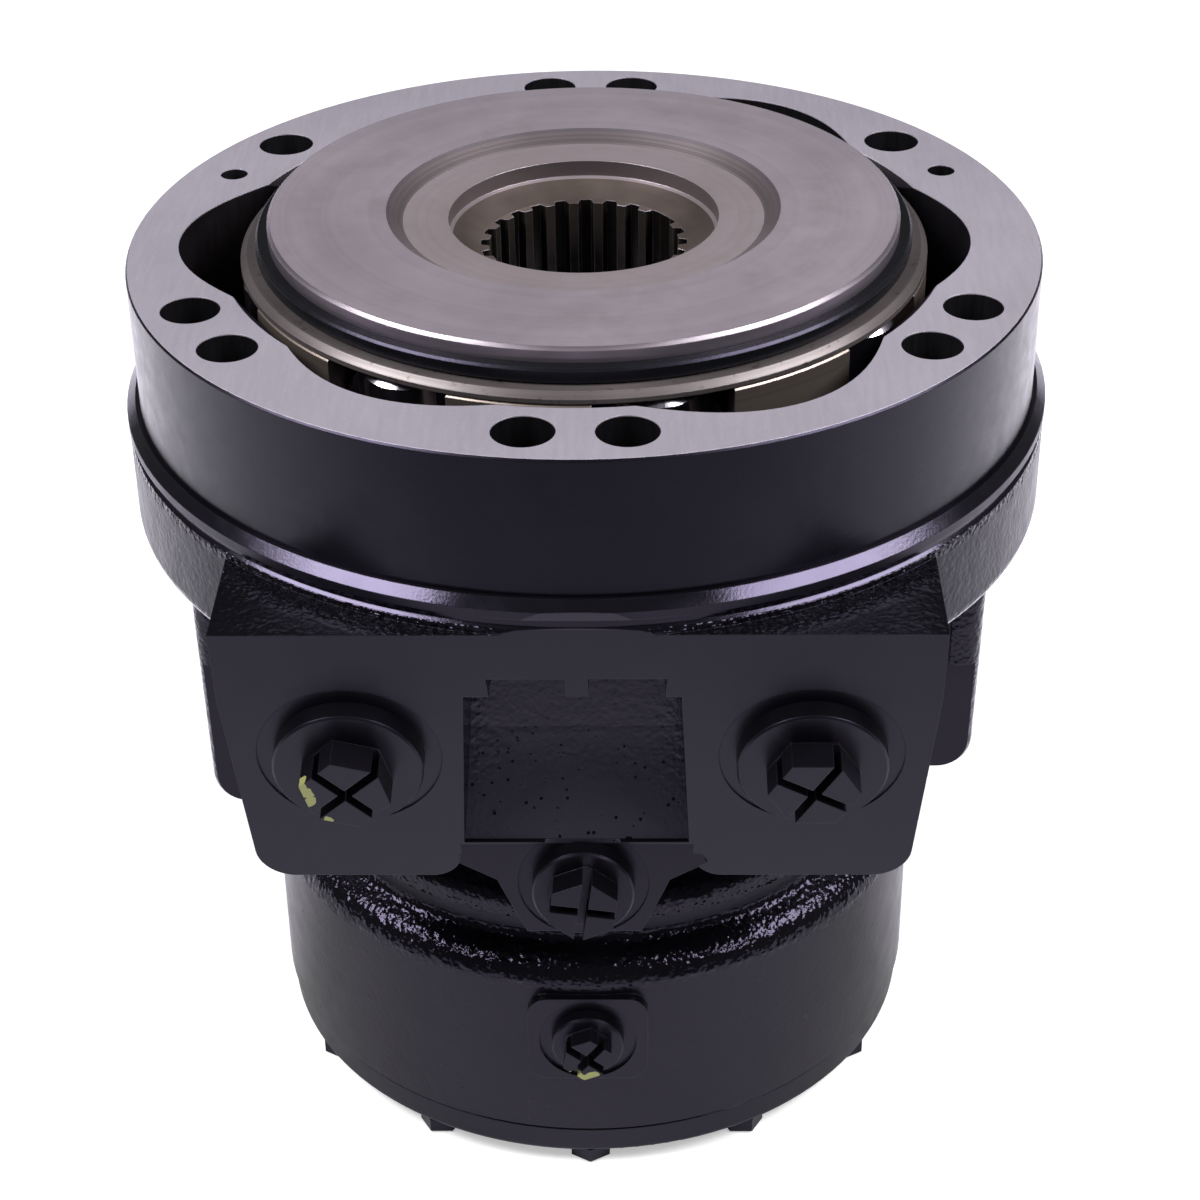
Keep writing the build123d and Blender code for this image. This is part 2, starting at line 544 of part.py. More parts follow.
def housing():
    shape = housing_outside() + port_block()
    shape -= front_of_port_plane()
    shape -= pocket()
    shape += drain_boss()
    shape += side_lug(-1) + side_lug(1)
    shape += brake_port_pad()
    shape -= housing_inside()
    shape -= flange_bolt_cuts()
    for side in (-1, 1):
        shape -= port_cut(MAIN_PORT, main_port_plane(side))
    shape -= port_cut(DRAIN_PORT, drain_port_plane)
    shape -= port_cut(BRAKE_PORT, brake_port_plane)
    shape -= oil_ways()
    slot = block((50, TAB_RADIUS + 0.5), (-TAB_HALF_WIDTH - 0.3, TAB_HALF_WIDTH + 0.3),
                 (pack_bottom - 1.5, BRAKE_TOP))
    shape -= around(slot, TAB_COUNT, 22.5)
    shape -= ring(CAM_SEAL_RADIUS + CAM_SEAL_GROOVE_HALF_WIDTH,
                  CAM_SEAL_RADIUS - CAM_SEAL_GROOVE_HALF_WIDTH,
                  FLANGE_TOP - 2 * CAM_SEAL_SECTION, FLANGE_TOP + 1)
    for x, y in [on_circle(SCREW_CIRCLE, 30 * index) for index in range(SCREW_COUNT)]:
        shape -= rod(SCREW_RADIUS + 0.05, HOUSING_BOTTOM - 1,
                     HOUSING_BOTTOM + SCREW_LENGTH_IN_HOUSING + 1, x, y)
    for x, y in distributor_pin_places:
        shape -= rod(PIN_RADIUS + 0.02, DISTRIBUTOR_FLOOR - PIN_DEPTH, DISTRIBUTOR_FLOOR + 1, x, y)
    return shape


def cam_ring_seal():
    """Round cord seal between cam ring and housing."""
    middle = FLANGE_TOP - CAM_SEAL_SECTION
    return Pos(0, 0, middle) * Torus(CAM_SEAL_RADIUS, CAM_SEAL_SECTION)


# Port plugs
def port_plug(plug, port, plane, turn):
    """Moulded plug with a flange and a cross-slotted hexagon head."""
    flange_radius, flange_height, across_flats, head_height = plug
    face_radius, face_depth, thread_radius, thread_depth = port
    foot = -face_depth
    stem_radius = thread_radius - PLUG_THREAD_GAP
    stem_length = thread_depth - face_depth - 6.0
    shape = Pos(0, 0, foot + flange_height / 2) * Cylinder(flange_radius, flange_height)
    shape = chamfer(shape.edges().sort_by(Axis.Z)[-1], 0.5)
    stem = Pos(0, 0, foot - stem_length / 2) * Cylinder(stem_radius, stem_length)
    groove = ring(stem_radius + 1, stem_radius - PLUG_SEAL_DEPTH, foot - 3.0, foot - 0.6)
    head = extrude(RegularPolygon(across_flats / 2, 6, major_radius=False), head_height)
    head = Pos(0, 0, foot + flange_height) * head
    middle = foot + flange_height + head_height / 2
    depth = head_height - 0.4
    length = 2 * across_flats
    cross = Box(length, PLUG_SLOT_WIDTH, depth) + Box(PLUG_SLOT_WIDTH, length, depth)
    cross = Pos(0, 0, middle + 0.3) * cross
    shape = shape + (stem - groove) + (head - cross)
    return plane * Rot(0, 0, turn) * shape


def plug_seal(port, plane):
    """Seal ring under the flange of a plug."""
    thread_radius = port[2]
    foot = -port[1]
    stem_radius = thread_radius - PLUG_THREAD_GAP
    return plane * ring(thread_radius - 0.05, stem_radius - PLUG_SEAL_DEPTH, foot - 2.8, foot - 0.8)


# Distributor
distributor_pin_places = [on_circle(PIN_CIRCLE, angle) for angle in (90.0, 270.0)]


def distributor():
    """Stepped oil distributor that faces the rear of the cylinder block."""
    bore = SHAFT_HOLE_RADIUS - 0.5
    outline = [(bore, DISTRIBUTOR_TOP)]
    height = DISTRIBUTOR_TOP
    for radius, low in DISTRIBUTOR_STEPS:
        outline += [(radius, height), (radius, low)]
        height = low
    outline += [(bore, height)]
    shape = revolved(outline)
    port = rod(FACE_PORT_RADIUS, DISTRIBUTOR_TOP - FACE_PORT_DEPTH, DISTRIBUTOR_TOP + 1,
               FACE_PORT_CIRCLE)
    deep_circle = FACE_PORT_CIRCLE - DEEP_PORT_INSET
    deep_port = rod(FACE_PORT_RADIUS - 0.8, DISTRIBUTOR_TOP - DEEP_PORT_DEPTH,
                    DISTRIBUTOR_TOP + 1, deep_circle)
    outside = DISTRIBUTOR_RADIUS - 2.0
    upper = drilling((FACE_PORT_CIRCLE, 0, GALLERIES[0][0]), (outside, 0, GALLERIES[0][0]),
                     GALLERY_DRILL_RADIUS)
    lower = drilling((deep_circle, 0, GALLERIES[1][0]), (outside, 0, GALLERIES[1][0]),
                     GALLERY_DRILL_RADIUS)
    half = FACE_PORT_COUNT // 2
    shape -= around(port, half) + around(upper, half)
    shape -= around(deep_port, half, 360 / FACE_PORT_COUNT)
    shape -= around(lower, half, 360 / FACE_PORT_COUNT)
    for above, (radius, low) in zip(SEAL_ABOVE_STEP, DISTRIBUTOR_STEPS):
        shape -= ring(radius + 1, radius - SEAL_GROOVE, low + above - SEAL_GROOVE_HALF_HEIGHT,
                      low + above + SEAL_GROOVE_HALF_HEIGHT)
    for x, y in distributor_pin_places:
        shape -= rod(PIN_RADIUS + 0.05, height - 1, height + 8, x, y)
    return shape


def distributor_seals():
    """Seal rings between the distributor steps and the housing."""
    rings = []
    half = SEAL_GROOVE_HALF_HEIGHT - SEAL_FREE_PLAY
    for above, (radius, low) in zip(SEAL_ABOVE_STEP, DISTRIBUTOR_STEPS):
        rings.append(ring(radius + DISTRIBUTOR_GAP, radius - SEAL_GROOVE,
                          low + above - half, low + above + half))
    return Compound(rings)


def distributor_pins():
    """Dowels that stop the distributor from turning."""
    low, high = DISTRIBUTOR_FLOOR - PIN_DEPTH, DISTRIBUTOR_FOOT + 7.5
    return Compound([rod(PIN_RADIUS, low, high, x, y) for x, y in distributor_pin_places])


def distributor_spring():
    """Conical spring washer that presses the distributor to the block."""
    bottom, top = DISTRIBUTOR_FLOOR, DISTRIBUTOR_FOOT
    outer, thickness = DISTRIBUTOR_FOOT_RADIUS, 1.4
    inner = outer - 3.5
    return revolved([(inner, top - thickness), (inner, top), (inner + 0.6, top),
                     (outer, bottom + thickness), (outer, bottom), (outer - 0.6, bottom)])


# Rotor
def spline_sector(inner, outer, widths, low, high):
    """One trapezoid of the spline, pointing along +X."""
    inner_half, outer_half = widths[0] / 2, widths[1] / 2
    outline = make_face(Polyline((inner, -inner_half), (outer, -outer_half),
                                 (outer, outer_half), (inner, inner_half), close=True))
    return Pos(0, 0, low) * extrude(outline, high - low)


def cylinder_block():
    """Rotor that holds the radial pistons and the internal spline."""
    recess_floor = DISC_TOP - RECESS_DEPTH
    counterbore_floor = recess_floor - COUNTERBORE_DEPTH
    spline_top = counterbore_floor - SPLINE_LEAD_IN
    ring_top = RETAINING_RING_FOOT + RETAINING_RING_HEIGHT
    shoulder = PAD_BOTTOM - 4.1
    shape = revolved([
        (SPLINE_TIP_RADIUS, BLOCK_REAR), (HUB_RADIUS, BLOCK_REAR), (HUB_RADIUS, shoulder),
        (DISC_RADIUS, shoulder), (DISC_RADIUS, PAD_BOTTOM), (BLOCK_RADIUS, PAD_BOTTOM),
        (BLOCK_RADIUS, PAD_TOP - 0.8), (BLOCK_RADIUS - 0.8, PAD_TOP), (DISC_RADIUS, PAD_TOP),
        (DISC_RADIUS, RETAINING_RING_FOOT), (RING_GROOVE_RADIUS, RETAINING_RING_FOOT),
        (RING_GROOVE_RADIUS, ring_top), (DISC_RADIUS, ring_top),
        (DISC_RADIUS, DISC_TOP - 0.8), (DISC_RADIUS - 0.8, DISC_TOP),
        (COUNTERBORE_RADIUS + 14.8, DISC_TOP), (COUNTERBORE_RADIUS + 10.9, recess_floor),
        (COUNTERBORE_RADIUS, recess_floor), (COUNTERBORE_RADIUS, counterbore_floor),
        (SPLINE_ROOT_RADIUS + 0.4, spline_top), (SPLINE_TIP_RADIUS, spline_top)])
    groove = spline_sector(SPLINE_TIP_RADIUS - 0.5, SPLINE_ROOT_RADIUS, SPLINE_GROOVE_WIDTHS,
                           BLOCK_REAR - 1, spline_top + 1)
    shape -= around(groove, SPLINE_COUNT)
    tooth_space = spline_sector(SPLINE_TIP_RADIUS - 0.5, SPLINE_ROOT_RADIUS - 0.15, (4.6, 4.6),
                                BLOCK_REAR - 1, spline_top + 1)
    shape -= Rot(0, 0, MISSING_TOOTH_ANGLE) * tooth_space
    bore = drilling((BORE_INNER_END, 0, BORE_PLANE), (BLOCK_RADIUS + 5, 0, BORE_PLANE),
                    PISTON_RADIUS + SLIDE_CLEARANCE)
    slot = block((SLOT_INNER_END, BLOCK_RADIUS + 5), (-SLOT_HALF_WIDTH, SLOT_HALF_WIDTH),
                 (PAD_BOTTOM, PAD_TOP))
    feed = rod(FEED_RADIUS, BLOCK_REAR - 1, BORE_PLANE, FACE_PORT_CIRCLE)
    shape -= around(bore, PISTON_COUNT, FIRST_PISTON_ANGLE)
    shape -= around(slot, PISTON_COUNT, FIRST_PISTON_ANGLE)
    shape -= around(feed, PISTON_COUNT, FIRST_PISTON_ANGLE)
    return shape


def upper_retaining_plate():
    """Plate that keeps the rollers in from above."""
    inner = DISC_RADIUS + SLIDE_CLEARANCE
    return revolved([(inner, PAD_TOP), (BLOCK_RADIUS, PAD_TOP), (BLOCK_RADIUS, PLATE_TOP - 1.4),
                     (BLOCK_RADIUS - 1.5, PLATE_TOP), (inner, PLATE_TOP)])


def retaining_ring():
    """Blackened ring in the groove of the disc, above the plate."""
    foot, top = RETAINING_RING_FOOT, RETAINING_RING_FOOT + RETAINING_RING_HEIGHT
    outer = DISC_RADIUS + RETAINING_RING_REACH
    return revolved([(RING_GROOVE_RADIUS, foot), (outer - 0.4, foot), (outer, foot + 0.6),
                     (outer, top - 0.6), (outer - 0.6, top), (RING_GROOVE_RADIUS, top)])


def lower_retaining_plate():
    """Plate that keeps the rollers in from below."""
    return ring(BLOCK_RADIUS, DISC_RADIUS + SLIDE_CLEARANCE, PAD_BOTTOM - LOWER_PLATE_THICKNESS,
                PAD_BOTTOM)


def piston(rest_path):
    """Piston along +X with the half shell that holds its roller."""
    low = rest_path - PISTON_LENGTH_BELOW_ROLLER
    shape = drilling((low, 0, BORE_PLANE), (rest_path + PISTON_WRAP, 0, BORE_PLANE),
                     PISTON_RADIUS)
    roller_room = rod(ROLLER_RADIUS + SLIDE_CLEARANCE, BORE_PLANE - 20, BORE_PLANE + 20, rest_path)
    skirt = drilling((low - 1, 0, BORE_PLANE), (low + 4.5, 0, BORE_PLANE), 7.0)
    groove_middle = low + 3.2
    groove = drilling((groove_middle - 1.1, 0, BORE_PLANE), (groove_middle + 1.1, 0, BORE_PLANE),
                      PISTON_RADIUS + 1)
    core = drilling((low, 0, BORE_PLANE), (low + 8, 0, BORE_PLANE), PISTON_RADIUS - 1.8)
    return shape - roller_room - skirt - (groove - core)


def piston_ring(rest_path):
    """Seal ring near the foot of a piston."""
    middle = rest_path - PISTON_LENGTH_BELOW_ROLLER + 3.2
    outer = drilling((middle - 1.0, 0, BORE_PLANE), (middle + 1.0, 0, BORE_PLANE),
                     PISTON_RADIUS + 0.02)
    inner = drilling((middle - 2.0, 0, BORE_PLANE), (middle + 2.0, 0, BORE_PLANE),
                     PISTON_RADIUS - 1.75)
    return outer - inner


def roller(rest_path):
    """Cam roller with rounded ends."""
    half = ROLLER_LENGTH / 2
    shape = revolved([(0, -half), (ROLLER_RADIUS - 1.2, -half), (ROLLER_RADIUS, 1.2 - half),
                      (ROLLER_RADIUS, half - 1.2), (ROLLER_RADIUS - 1.2, half), (0, half)])
    return Pos(rest_path, 0, BORE_PLANE) * shape


# Parking brake
def brake_shaft():
    """Shaft from the block's spline through the distributor to the brake discs."""
    top = BLOCK_REAR + 18.0
    core = SPLINE_TIP_RADIUS - 0.6
    hub_top, hub_foot = BRAKE_TOP - 1.5, pack_bottom - 2.0
    shape = revolved([
        (0, top), (core - 0.8, top), (core, top - 0.8), (core, BLOCK_REAR - 1.5),
        (SHAFT_RADIUS, BLOCK_REAR - 3.5), (SHAFT_RADIUS, hub_top), (BRAKE_HUB_RADIUS, hub_top),
        (BRAKE_HUB_RADIUS, hub_foot), (SHAFT_RADIUS, hub_foot), (SHAFT_RADIUS, COVER_FLOOR + 11.0),
        (JOURNAL_RADIUS, COVER_FLOOR + 8.0), (JOURNAL_RADIUS, BEARING_FLOOR + SEAT_GAP),
        (0, BEARING_FLOOR + SEAT_GAP)])
    widths = (SPLINE_GROOVE_WIDTHS[0] - 0.3, SPLINE_GROOVE_WIDTHS[1] - 0.3)
    tooth = spline_sector(core - 0.4, SPLINE_ROOT_RADIUS - 0.25, widths, BLOCK_REAR + 0.5, top - 1.0)
    shape += around(tooth, SPLINE_COUNT)
    hub_tooth = block((BRAKE_HUB_RADIUS - 3, HUB_TOOTH_RADIUS),
                      (-HUB_TOOTH_HALF_WIDTH, HUB_TOOTH_HALF_WIDTH), (hub_foot, hub_top))
    shape += around(hub_tooth, HUB_TOOTH_COUNT)
    return shape


def brake_discs():
    """Friction discs that turn with the shaft."""
    half_notch = HUB_TOOTH_HALF_WIDTH + 0.1
    notch = block((BRAKE_HUB_RADIUS - 3, HUB_TOOTH_RADIUS + 0.1), (-half_notch, half_notch), (-5, 5))
    disc = ring(PACK_RADIUS - 1.5, BRAKE_HUB_RADIUS + 0.1, -INNER_DISC_THICKNESS / 2,
                INNER_DISC_THICKNESS / 2)
    disc -= around(notch, HUB_TOOTH_COUNT)
    pitch = OUTER_PLATE_THICKNESS + INNER_DISC_THICKNESS + 2 * SEAT_GAP
    first = BRAKE_TOP - OUTER_PLATE_THICKNESS - SEAT_GAP - INNER_DISC_THICKNESS / 2
    return Compound([Pos(0, 0, first - index * pitch) * disc for index in range(INNER_DISC_COUNT)])


def brake_plates():
    """Steel plates held by their tabs in the housing."""
    plate = ring(PACK_RADIUS - 0.4, HUB_TOOTH_RADIUS + 3.0, -OUTER_PLATE_THICKNESS / 2,
                 OUTER_PLATE_THICKNESS / 2)
    tab = block((PACK_RADIUS - 6, TAB_RADIUS), (-TAB_HALF_WIDTH, TAB_HALF_WIDTH),
                (-OUTER_PLATE_THICKNESS / 2, OUTER_PLATE_THICKNESS / 2))
    plate += around(tab, TAB_COUNT, 22.5)
    pitch = OUTER_PLATE_THICKNESS + INNER_DISC_THICKNESS + 2 * SEAT_GAP
    first = BRAKE_TOP - OUTER_PLATE_THICKNESS / 2
    return Compound([Pos(0, 0, first - index * pitch) * plate for index in range(OUTER_PLATE_COUNT)])


PISTON_NOSE = pack_bottom - SEAT_GAP
PISTON_FOOT = COVER_FLOOR + 7.0
SMALL_LAND_SEAL = PISTON_NOSE - 3.2
LARGE_LAND_SEAL = PISTON_FOOT + 10.0
BRAKE_SEAL_DEPTH = 2.0


def brake_piston():
    """Stepped ring piston that squeezes the discs and is pushed off them by oil."""
    small = SMALL_PISTON_RADIUS - SLIDE_CLEARANCE
    large = LARGE_PISTON_RADIUS - SLIDE_CLEARANCE
    nose = PACK_RADIUS - 1.0
    land_foot, step = PISTON_FOOT + 23.2, PISTON_FOOT + 16.0
    shape = revolved([
        (BRAKE_PISTON_BORE, PISTON_NOSE), (nose, PISTON_NOSE), (nose, PISTON_NOSE - 1.2),
        (small, PISTON_NOSE - 1.2), (small, land_foot), (small - 2, land_foot), (small - 2, step),
        (large, step), (large, PISTON_FOOT), (BRAKE_PISTON_BORE, PISTON_FOOT)])
    shape -= ring(small + 1, small - BRAKE_SEAL_DEPTH, SMALL_LAND_SEAL - 1.0, SMALL_LAND_SEAL + 1.0)
    shape -= ring(large + 1, large - BRAKE_SEAL_DEPTH, LARGE_LAND_SEAL - 1.5, LARGE_LAND_SEAL + 1.5)
    return shape


def brake_piston_seals():
    """Seal rings of the brake piston."""
    small = SMALL_PISTON_RADIUS - 0.03
    large = LARGE_PISTON_RADIUS - 0.03
    return Compound([
        ring(small, SMALL_PISTON_RADIUS - SLIDE_CLEARANCE - BRAKE_SEAL_DEPTH,
             SMALL_LAND_SEAL - 0.9, SMALL_LAND_SEAL + 0.9),
        ring(large, LARGE_PISTON_RADIUS - SLIDE_CLEARANCE - BRAKE_SEAL_DEPTH,
             LARGE_LAND_SEAL - 1.4, LARGE_LAND_SEAL + 1.4)])


def brake_disc_spring():
    """Conical disc spring between brake piston and rear cover."""
    thickness = 2.2
    inner, outer = BRAKE_PISTON_BORE + 3.0, LARGE_PISTON_RADIUS - 3.5
    low = COVER_FLOOR
    return revolved([(inner, PISTON_FOOT), (inner, PISTON_FOOT - thickness), (outer - 2, low),
                     (outer, low), (outer, low + thickness), (inner + 2, PISTON_FOOT)])


# Rear cover
COVER_SPIGOT_RADIUS = LARGE_PISTON_RADIUS - 0.1
COVER_SEAL_MIDDLE = HOUSING_BOTTOM + 2.0
COVER_SEAL_DEPTH = 2.0
FOOT_RING_RADII = (SCREW_CIRCLE - 29.0, SCREW_CIRCLE - 15.0)
COVER_BOSS_RADIUS = 28.0


def rear_cover():
    """Cover that closes the brake and carries the shaft end."""
    spigot = COVER_SPIGOT_RADIUS
    foot_inner, foot_outer = FOOT_RING_RADII
    shape = revolved([
        (0, COVER_FLOOR), (spigot, COVER_FLOOR), (spigot, HOUSING_BOTTOM),
        (COVER_RADIUS - EDGE_CHAMFER, HOUSING_BOTTOM), (COVER_RADIUS, HOUSING_BOTTOM - EDGE_CHAMFER),
        (COVER_RADIUS, COVER_BOTTOM, 1.5), (foot_outer + 2, COVER_BOTTOM),
        (foot_outer, FOOT_BOTTOM, 1.0), (foot_inner, FOOT_BOTTOM, 1.0),
        (foot_inner - 2, COVER_BOTTOM), (COVER_BOSS_RADIUS + 2, COVER_BOTTOM),
        (COVER_BOSS_RADIUS, FOOT_BOTTOM + 1.5, 1.0), (0, FOOT_BOTTOM + 1.5)])
    shape -= rod(BUSH_OUTER_RADIUS, BEARING_FLOOR, COVER_FLOOR + 1)
    shape -= ring(spigot + 1, spigot - COVER_SEAL_DEPTH, COVER_SEAL_MIDDLE - 1.1,
                  COVER_SEAL_MIDDLE + 1.1)
    for x, y in [on_circle(SCREW_CIRCLE, 30 * index) for index in range(SCREW_COUNT)]:
        shape -= rod(SCREW_RADIUS + 0.3, COVER_BOTTOM - 1, HOUSING_BOTTOM + 1, x, y)
    return shape


def rear_cover_seal():
    """Seal ring on the cover's spigot."""
    return ring(LARGE_PISTON_RADIUS, COVER_SPIGOT_RADIUS - COVER_SEAL_DEPTH,
                COVER_SEAL_MIDDLE - 1.0, COVER_SEAL_MIDDLE + 1.0)


def cover_screws():
    """Twelve hexagon head screws of the rear cover."""
    shank_top = HOUSING_BOTTOM + SCREW_LENGTH_IN_HOUSING
    head = extrude(RegularPolygon(SCREW_HEAD_WIDTH / 2, 6, major_radius=False), SCREW_HEAD_HEIGHT)
    head = Pos(0, 0, COVER_BOTTOM - SCREW_HEAD_HEIGHT) * head
    shape = head + rod(SCREW_RADIUS, COVER_BOTTOM - 0.01, shank_top)
    return Compound([Pos(*on_circle(SCREW_CIRCLE, 30 * index), 0) * Rot(0, 0, 30 * index) * shape
                     for index in range(SCREW_COUNT)])


def shaft_bush():
    """Plain bush for the shaft end."""
    return ring(BUSH_OUTER_RADIUS, JOURNAL_RADIUS + SLIDE_CLEARANCE, BEARING_FLOOR, COVER_FLOOR - 0.4)


# Write every piece
pieces = {
    "housing": housing(),
    "cam_ring": cam_ring(),
    "cam_ring_seal": cam_ring_seal(),
    "rear_cover": rear_cover(),
    "rear_cover_seal": rear_cover_seal(),
    "cover_screws": cover_screws(),
    "shaft_bush": shaft_bush(),
    "main_port_plug_left": port_plug(MAIN_PLUG, MAIN_PORT, main_port_plane(-1), LEFT_PLUG_TURN),
    "main_port_plug_right": port_plug(MAIN_PLUG, MAIN_PORT, main_port_plane(1), RIGHT_PLUG_TURN),
    "drain_port_plug": port_plug(DRAIN_PLUG, DRAIN_PORT, drain_port_plane, DRAIN_PLUG_TURN),
    "brake_port_plug": port_plug(BRAKE_PLUG, BRAKE_PORT, brake_port_plane, BRAKE_PLUG_TURN),
    "port_plug_seals": Compound([
        plug_seal(MAIN_PORT, main_port_plane(-1)), plug_seal(MAIN_PORT, main_port_plane(1)),
        plug_seal(DRAIN_PORT, drain_port_plane), plug_seal(BRAKE_PORT, brake_port_plane)]),
    "distributor": distributor(),
    "distributor_seals": distributor_seals(),
    "distributor_pins": distributor_pins(),
    "distributor_spring": distributor_spring(),
    "brake_plates": brake_plates(),
    "cylinder_block": cylinder_block(),
    "upper_retaining_plate": upper_retaining_plate(),
    "retaining_ring": retaining_ring(),
    "lower_retaining_plate": lower_retaining_plate(),
    "brake_shaft": brake_shaft(),
    "brake_discs": brake_discs(),
    "brake_piston": brake_piston(),
    "brake_piston_seals": brake_piston_seals(),
    "brake_disc_spring": brake_disc_spring(),
}
for index in range(PISTON_COUNT):
    turn = Rot(0, 0, FIRST_PISTON_ANGLE + index * 360 / PISTON_COUNT)
    pieces[f"piston_{index + 1}"] = turn * piston(REST_ROLLER_PATH)
    pieces[f"piston_ring_{index + 1}"] = turn * piston_ring(REST_ROLLER_PATH)
    pieces[f"roller_{index + 1}"] = turn * roller(REST_ROLLER_PATH)

os.makedirs("parts", exist_ok=True)
for name, shape in pieces.items():
    export_step(shape, f"parts/{name}.step")
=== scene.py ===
import bpy
from math import cos, radians, sin
from types import SimpleNamespace
from mathutils import Matrix, Vector


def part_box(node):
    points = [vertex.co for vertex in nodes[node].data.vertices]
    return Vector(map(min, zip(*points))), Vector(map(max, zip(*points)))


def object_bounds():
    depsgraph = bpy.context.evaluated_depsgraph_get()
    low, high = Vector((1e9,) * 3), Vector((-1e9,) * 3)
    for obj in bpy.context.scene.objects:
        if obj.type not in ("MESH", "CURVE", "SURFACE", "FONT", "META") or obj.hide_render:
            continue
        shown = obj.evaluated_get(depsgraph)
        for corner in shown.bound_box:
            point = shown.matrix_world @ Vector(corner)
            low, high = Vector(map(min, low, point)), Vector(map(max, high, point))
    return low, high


# A hydraulic drive motor that stands on its rear cover. Lengths are metres, +Z is the drive axis
# and the origin is the centre of the cam ring's mounting face. The port face looks along -Y.

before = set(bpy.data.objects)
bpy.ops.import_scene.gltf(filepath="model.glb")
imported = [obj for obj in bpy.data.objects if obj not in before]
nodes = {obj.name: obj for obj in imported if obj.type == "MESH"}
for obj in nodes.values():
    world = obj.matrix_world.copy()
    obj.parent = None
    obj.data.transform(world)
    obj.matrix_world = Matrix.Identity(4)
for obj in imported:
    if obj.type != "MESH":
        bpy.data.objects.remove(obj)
cad_low, cad_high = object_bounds()

PISTON_COUNT = 8
RING_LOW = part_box("cam_ring")[0].z
FLOOR_Z = cad_low.z

# Camera, fitted to the photograph
CAMERA_PLACE = Vector((0.01507, -0.58650, 0.26880))
CAMERA_AZIMUTH = radians(1.21)
CAMERA_PITCH = radians(32.45)
CAMERA_ROLL = radians(-0.79)
LENS = 79.23
SENSOR = 36.0
CLIP_NEAR = 0.01
CLIP_FAR = 100.0

# Lamps, both turned to the origin
LAMP_TARGET = (0.0, 0.0, 0.0)
LAMP_HEIGHT = 0.45            # shorter side of each lamp's surface
LEFT_LAMP_PLACE = (-0.864, -0.314, 0.919)
LEFT_LAMP_WIDTH = 0.84
LEFT_LAMP_POWER = 17.8
RIGHT_LAMP_PLACE = (0.904, -0.294, 0.887)
RIGHT_LAMP_WIDTH = 1.0
RIGHT_LAMP_POWER = 19.0
AMBIENT = 0.10                # the surroundings' strength for all but the camera's rays

# Floor
FLOOR_HALF = 12.0
FLOOR_PALE = (0.85, 0.85, 0.86, 1.0)
FLOOR_DIM = (0.32, 0.32, 0.33, 1.0)
FLOOR_GLOW = (1.0, 1.0, 1.0, 1.0)
FLOOR_REFLECTED_GLOW = (1.0, 0.93, 1.10, 1.0)
REFLECTED_GLOW_STRENGTH = 1.28
GLOW_NEAR = 0.45              # what the camera sees of the glow round the motor
GLOW_DISTANCES = (0.5, 2.5)   # the glow grows to 1 between these
FRONT_DEPTHS = (-0.45, -0.20)   # in reflections the floor is dim up to these, and pale past them
BESIDE_ANGLES = (radians(-12.0), radians(44.0))

# Colours: the paint's sheen is violet, the steel is warm
NO_TINT = (1.0, 1.0, 1.0)
PAINT_TINT = (1.0, 0.92, 1.3)
STEEL_TINT = (1.0, 0.92, 1.08)
ROTOR_TINT = (1.0, 0.87, 1.0)
PLATE_TINT = (1.0, 0.85, 0.87)
BRONZE_TINT = (1.0, 0.75, 0.4)
LINING_TINT = (1.3, 1.0, 0.7)
PISTON_RING_TINT = (1.4, 1.0, 0.6)
BLACKENED_TINT = (0.9, 1.0, 1.2)
BLACK = 0.0035                # diffuse part of the black paint
PAINT_SPECULAR = 0.34
PAINT_SHEEN = (0.74, 0.65, 1.0, 1.0)
STEEL_DIFFUSE = 0.5           # share of a fine ground surface that scatters light all round
RUST = (0.05, 0.028, 0.018, 1.0)
SMEAR = (0.22, 0.18, 0.19, 1.0)
OLIVE = (0.36, 0.295, 0.245, 1.0)
RECESS_BROWN = (0.30, 0.23, 0.19, 1.0)
HUB_BROWNS = ((0.10, 0.079, 0.070, 1.0), (0.16, 0.127, 0.115, 1.0))
# the spline's painted shade, and the painted light on its tooth tips
SPLINE_PAINTED_SHADE = (0.004, 0.003, 0.003, 1.0)
SPLINE_TIP = (0.9, 0.76, 0.64, 1.0)

# Edges
EDGE_ROUND = 0.0003           # small rounding that paint and wear give to edges
WORN_AND_LIT_EDGE = 0.0002            # width of the edges painted lighter, partly as worn paint and partly as painted highlight
# the block's edges are painted bright within this width, partly as wear and partly as painted highlight
BLOCK_WORN_AND_LIT_EDGE = 0.00025

# Port face: it passes through this point and leans by this angle
PORT_FACE_Y = -0.105
PORT_Z = -0.079
PORT_TILT = radians(10.5)

# Further machined faces of the housing
FRONT_FACES_Y = (-0.099, -0.088, -0.0255)   # drain boss, brake pad and side lugs
LIP_LOW = -0.0405             # the flange's lip is above this
FOOT_HIGH = -0.2105           # the housing's bottom edge is below this

# Cast zones of the housing
LOWER_WALL_HIGH = -0.150      # the lower cylinder's wall is below this
RIM_LOW = -0.068              # the flange's outer side is above this
RIM_RADIUS = 0.1120           # and outside of this
LEDGE_LOW = -0.046            # the port block's top is above this
STRIP_Z = -0.042              # height of that top, where it is roughest
STRIP_RADII = (0.1165, 0.1215)   # it gets calmer between these
UPRIGHT = (0.80, 0.97)        # faces turn from sloping to upright between these
POCKET_X = -0.0014
POCKET_HALF_WIDTH = 0.0275
POCKET_HEIGHTS = (-0.1085, -0.0590)
# the pocket's painted sheen is lighter below these heights
POCKET_RAMP_TOP = (-0.0838, -0.0816)

# Cam ring
RING_PAINT_RADIUS = 0.10955   # painted outside of this
RING_FACE_LOW = -0.0003       # the ground face is above this

# Cylinder block
PADS_RADIUS = 0.055
PADS_HIGH = -0.0008
RECESS_RADII = (0.050, 0.054)
RECESS_HIGH = 0.0080
COUNTERBORE_RADIUS = 0.0327
HUB_HIGH = 0.0015
SPLINE_ROOT = 0.0262
SPLINE_SHADE_HEIGHTS = (-0.016, -0.004)
SPLINE_TIP_RADII = (0.0229, 0.0240)

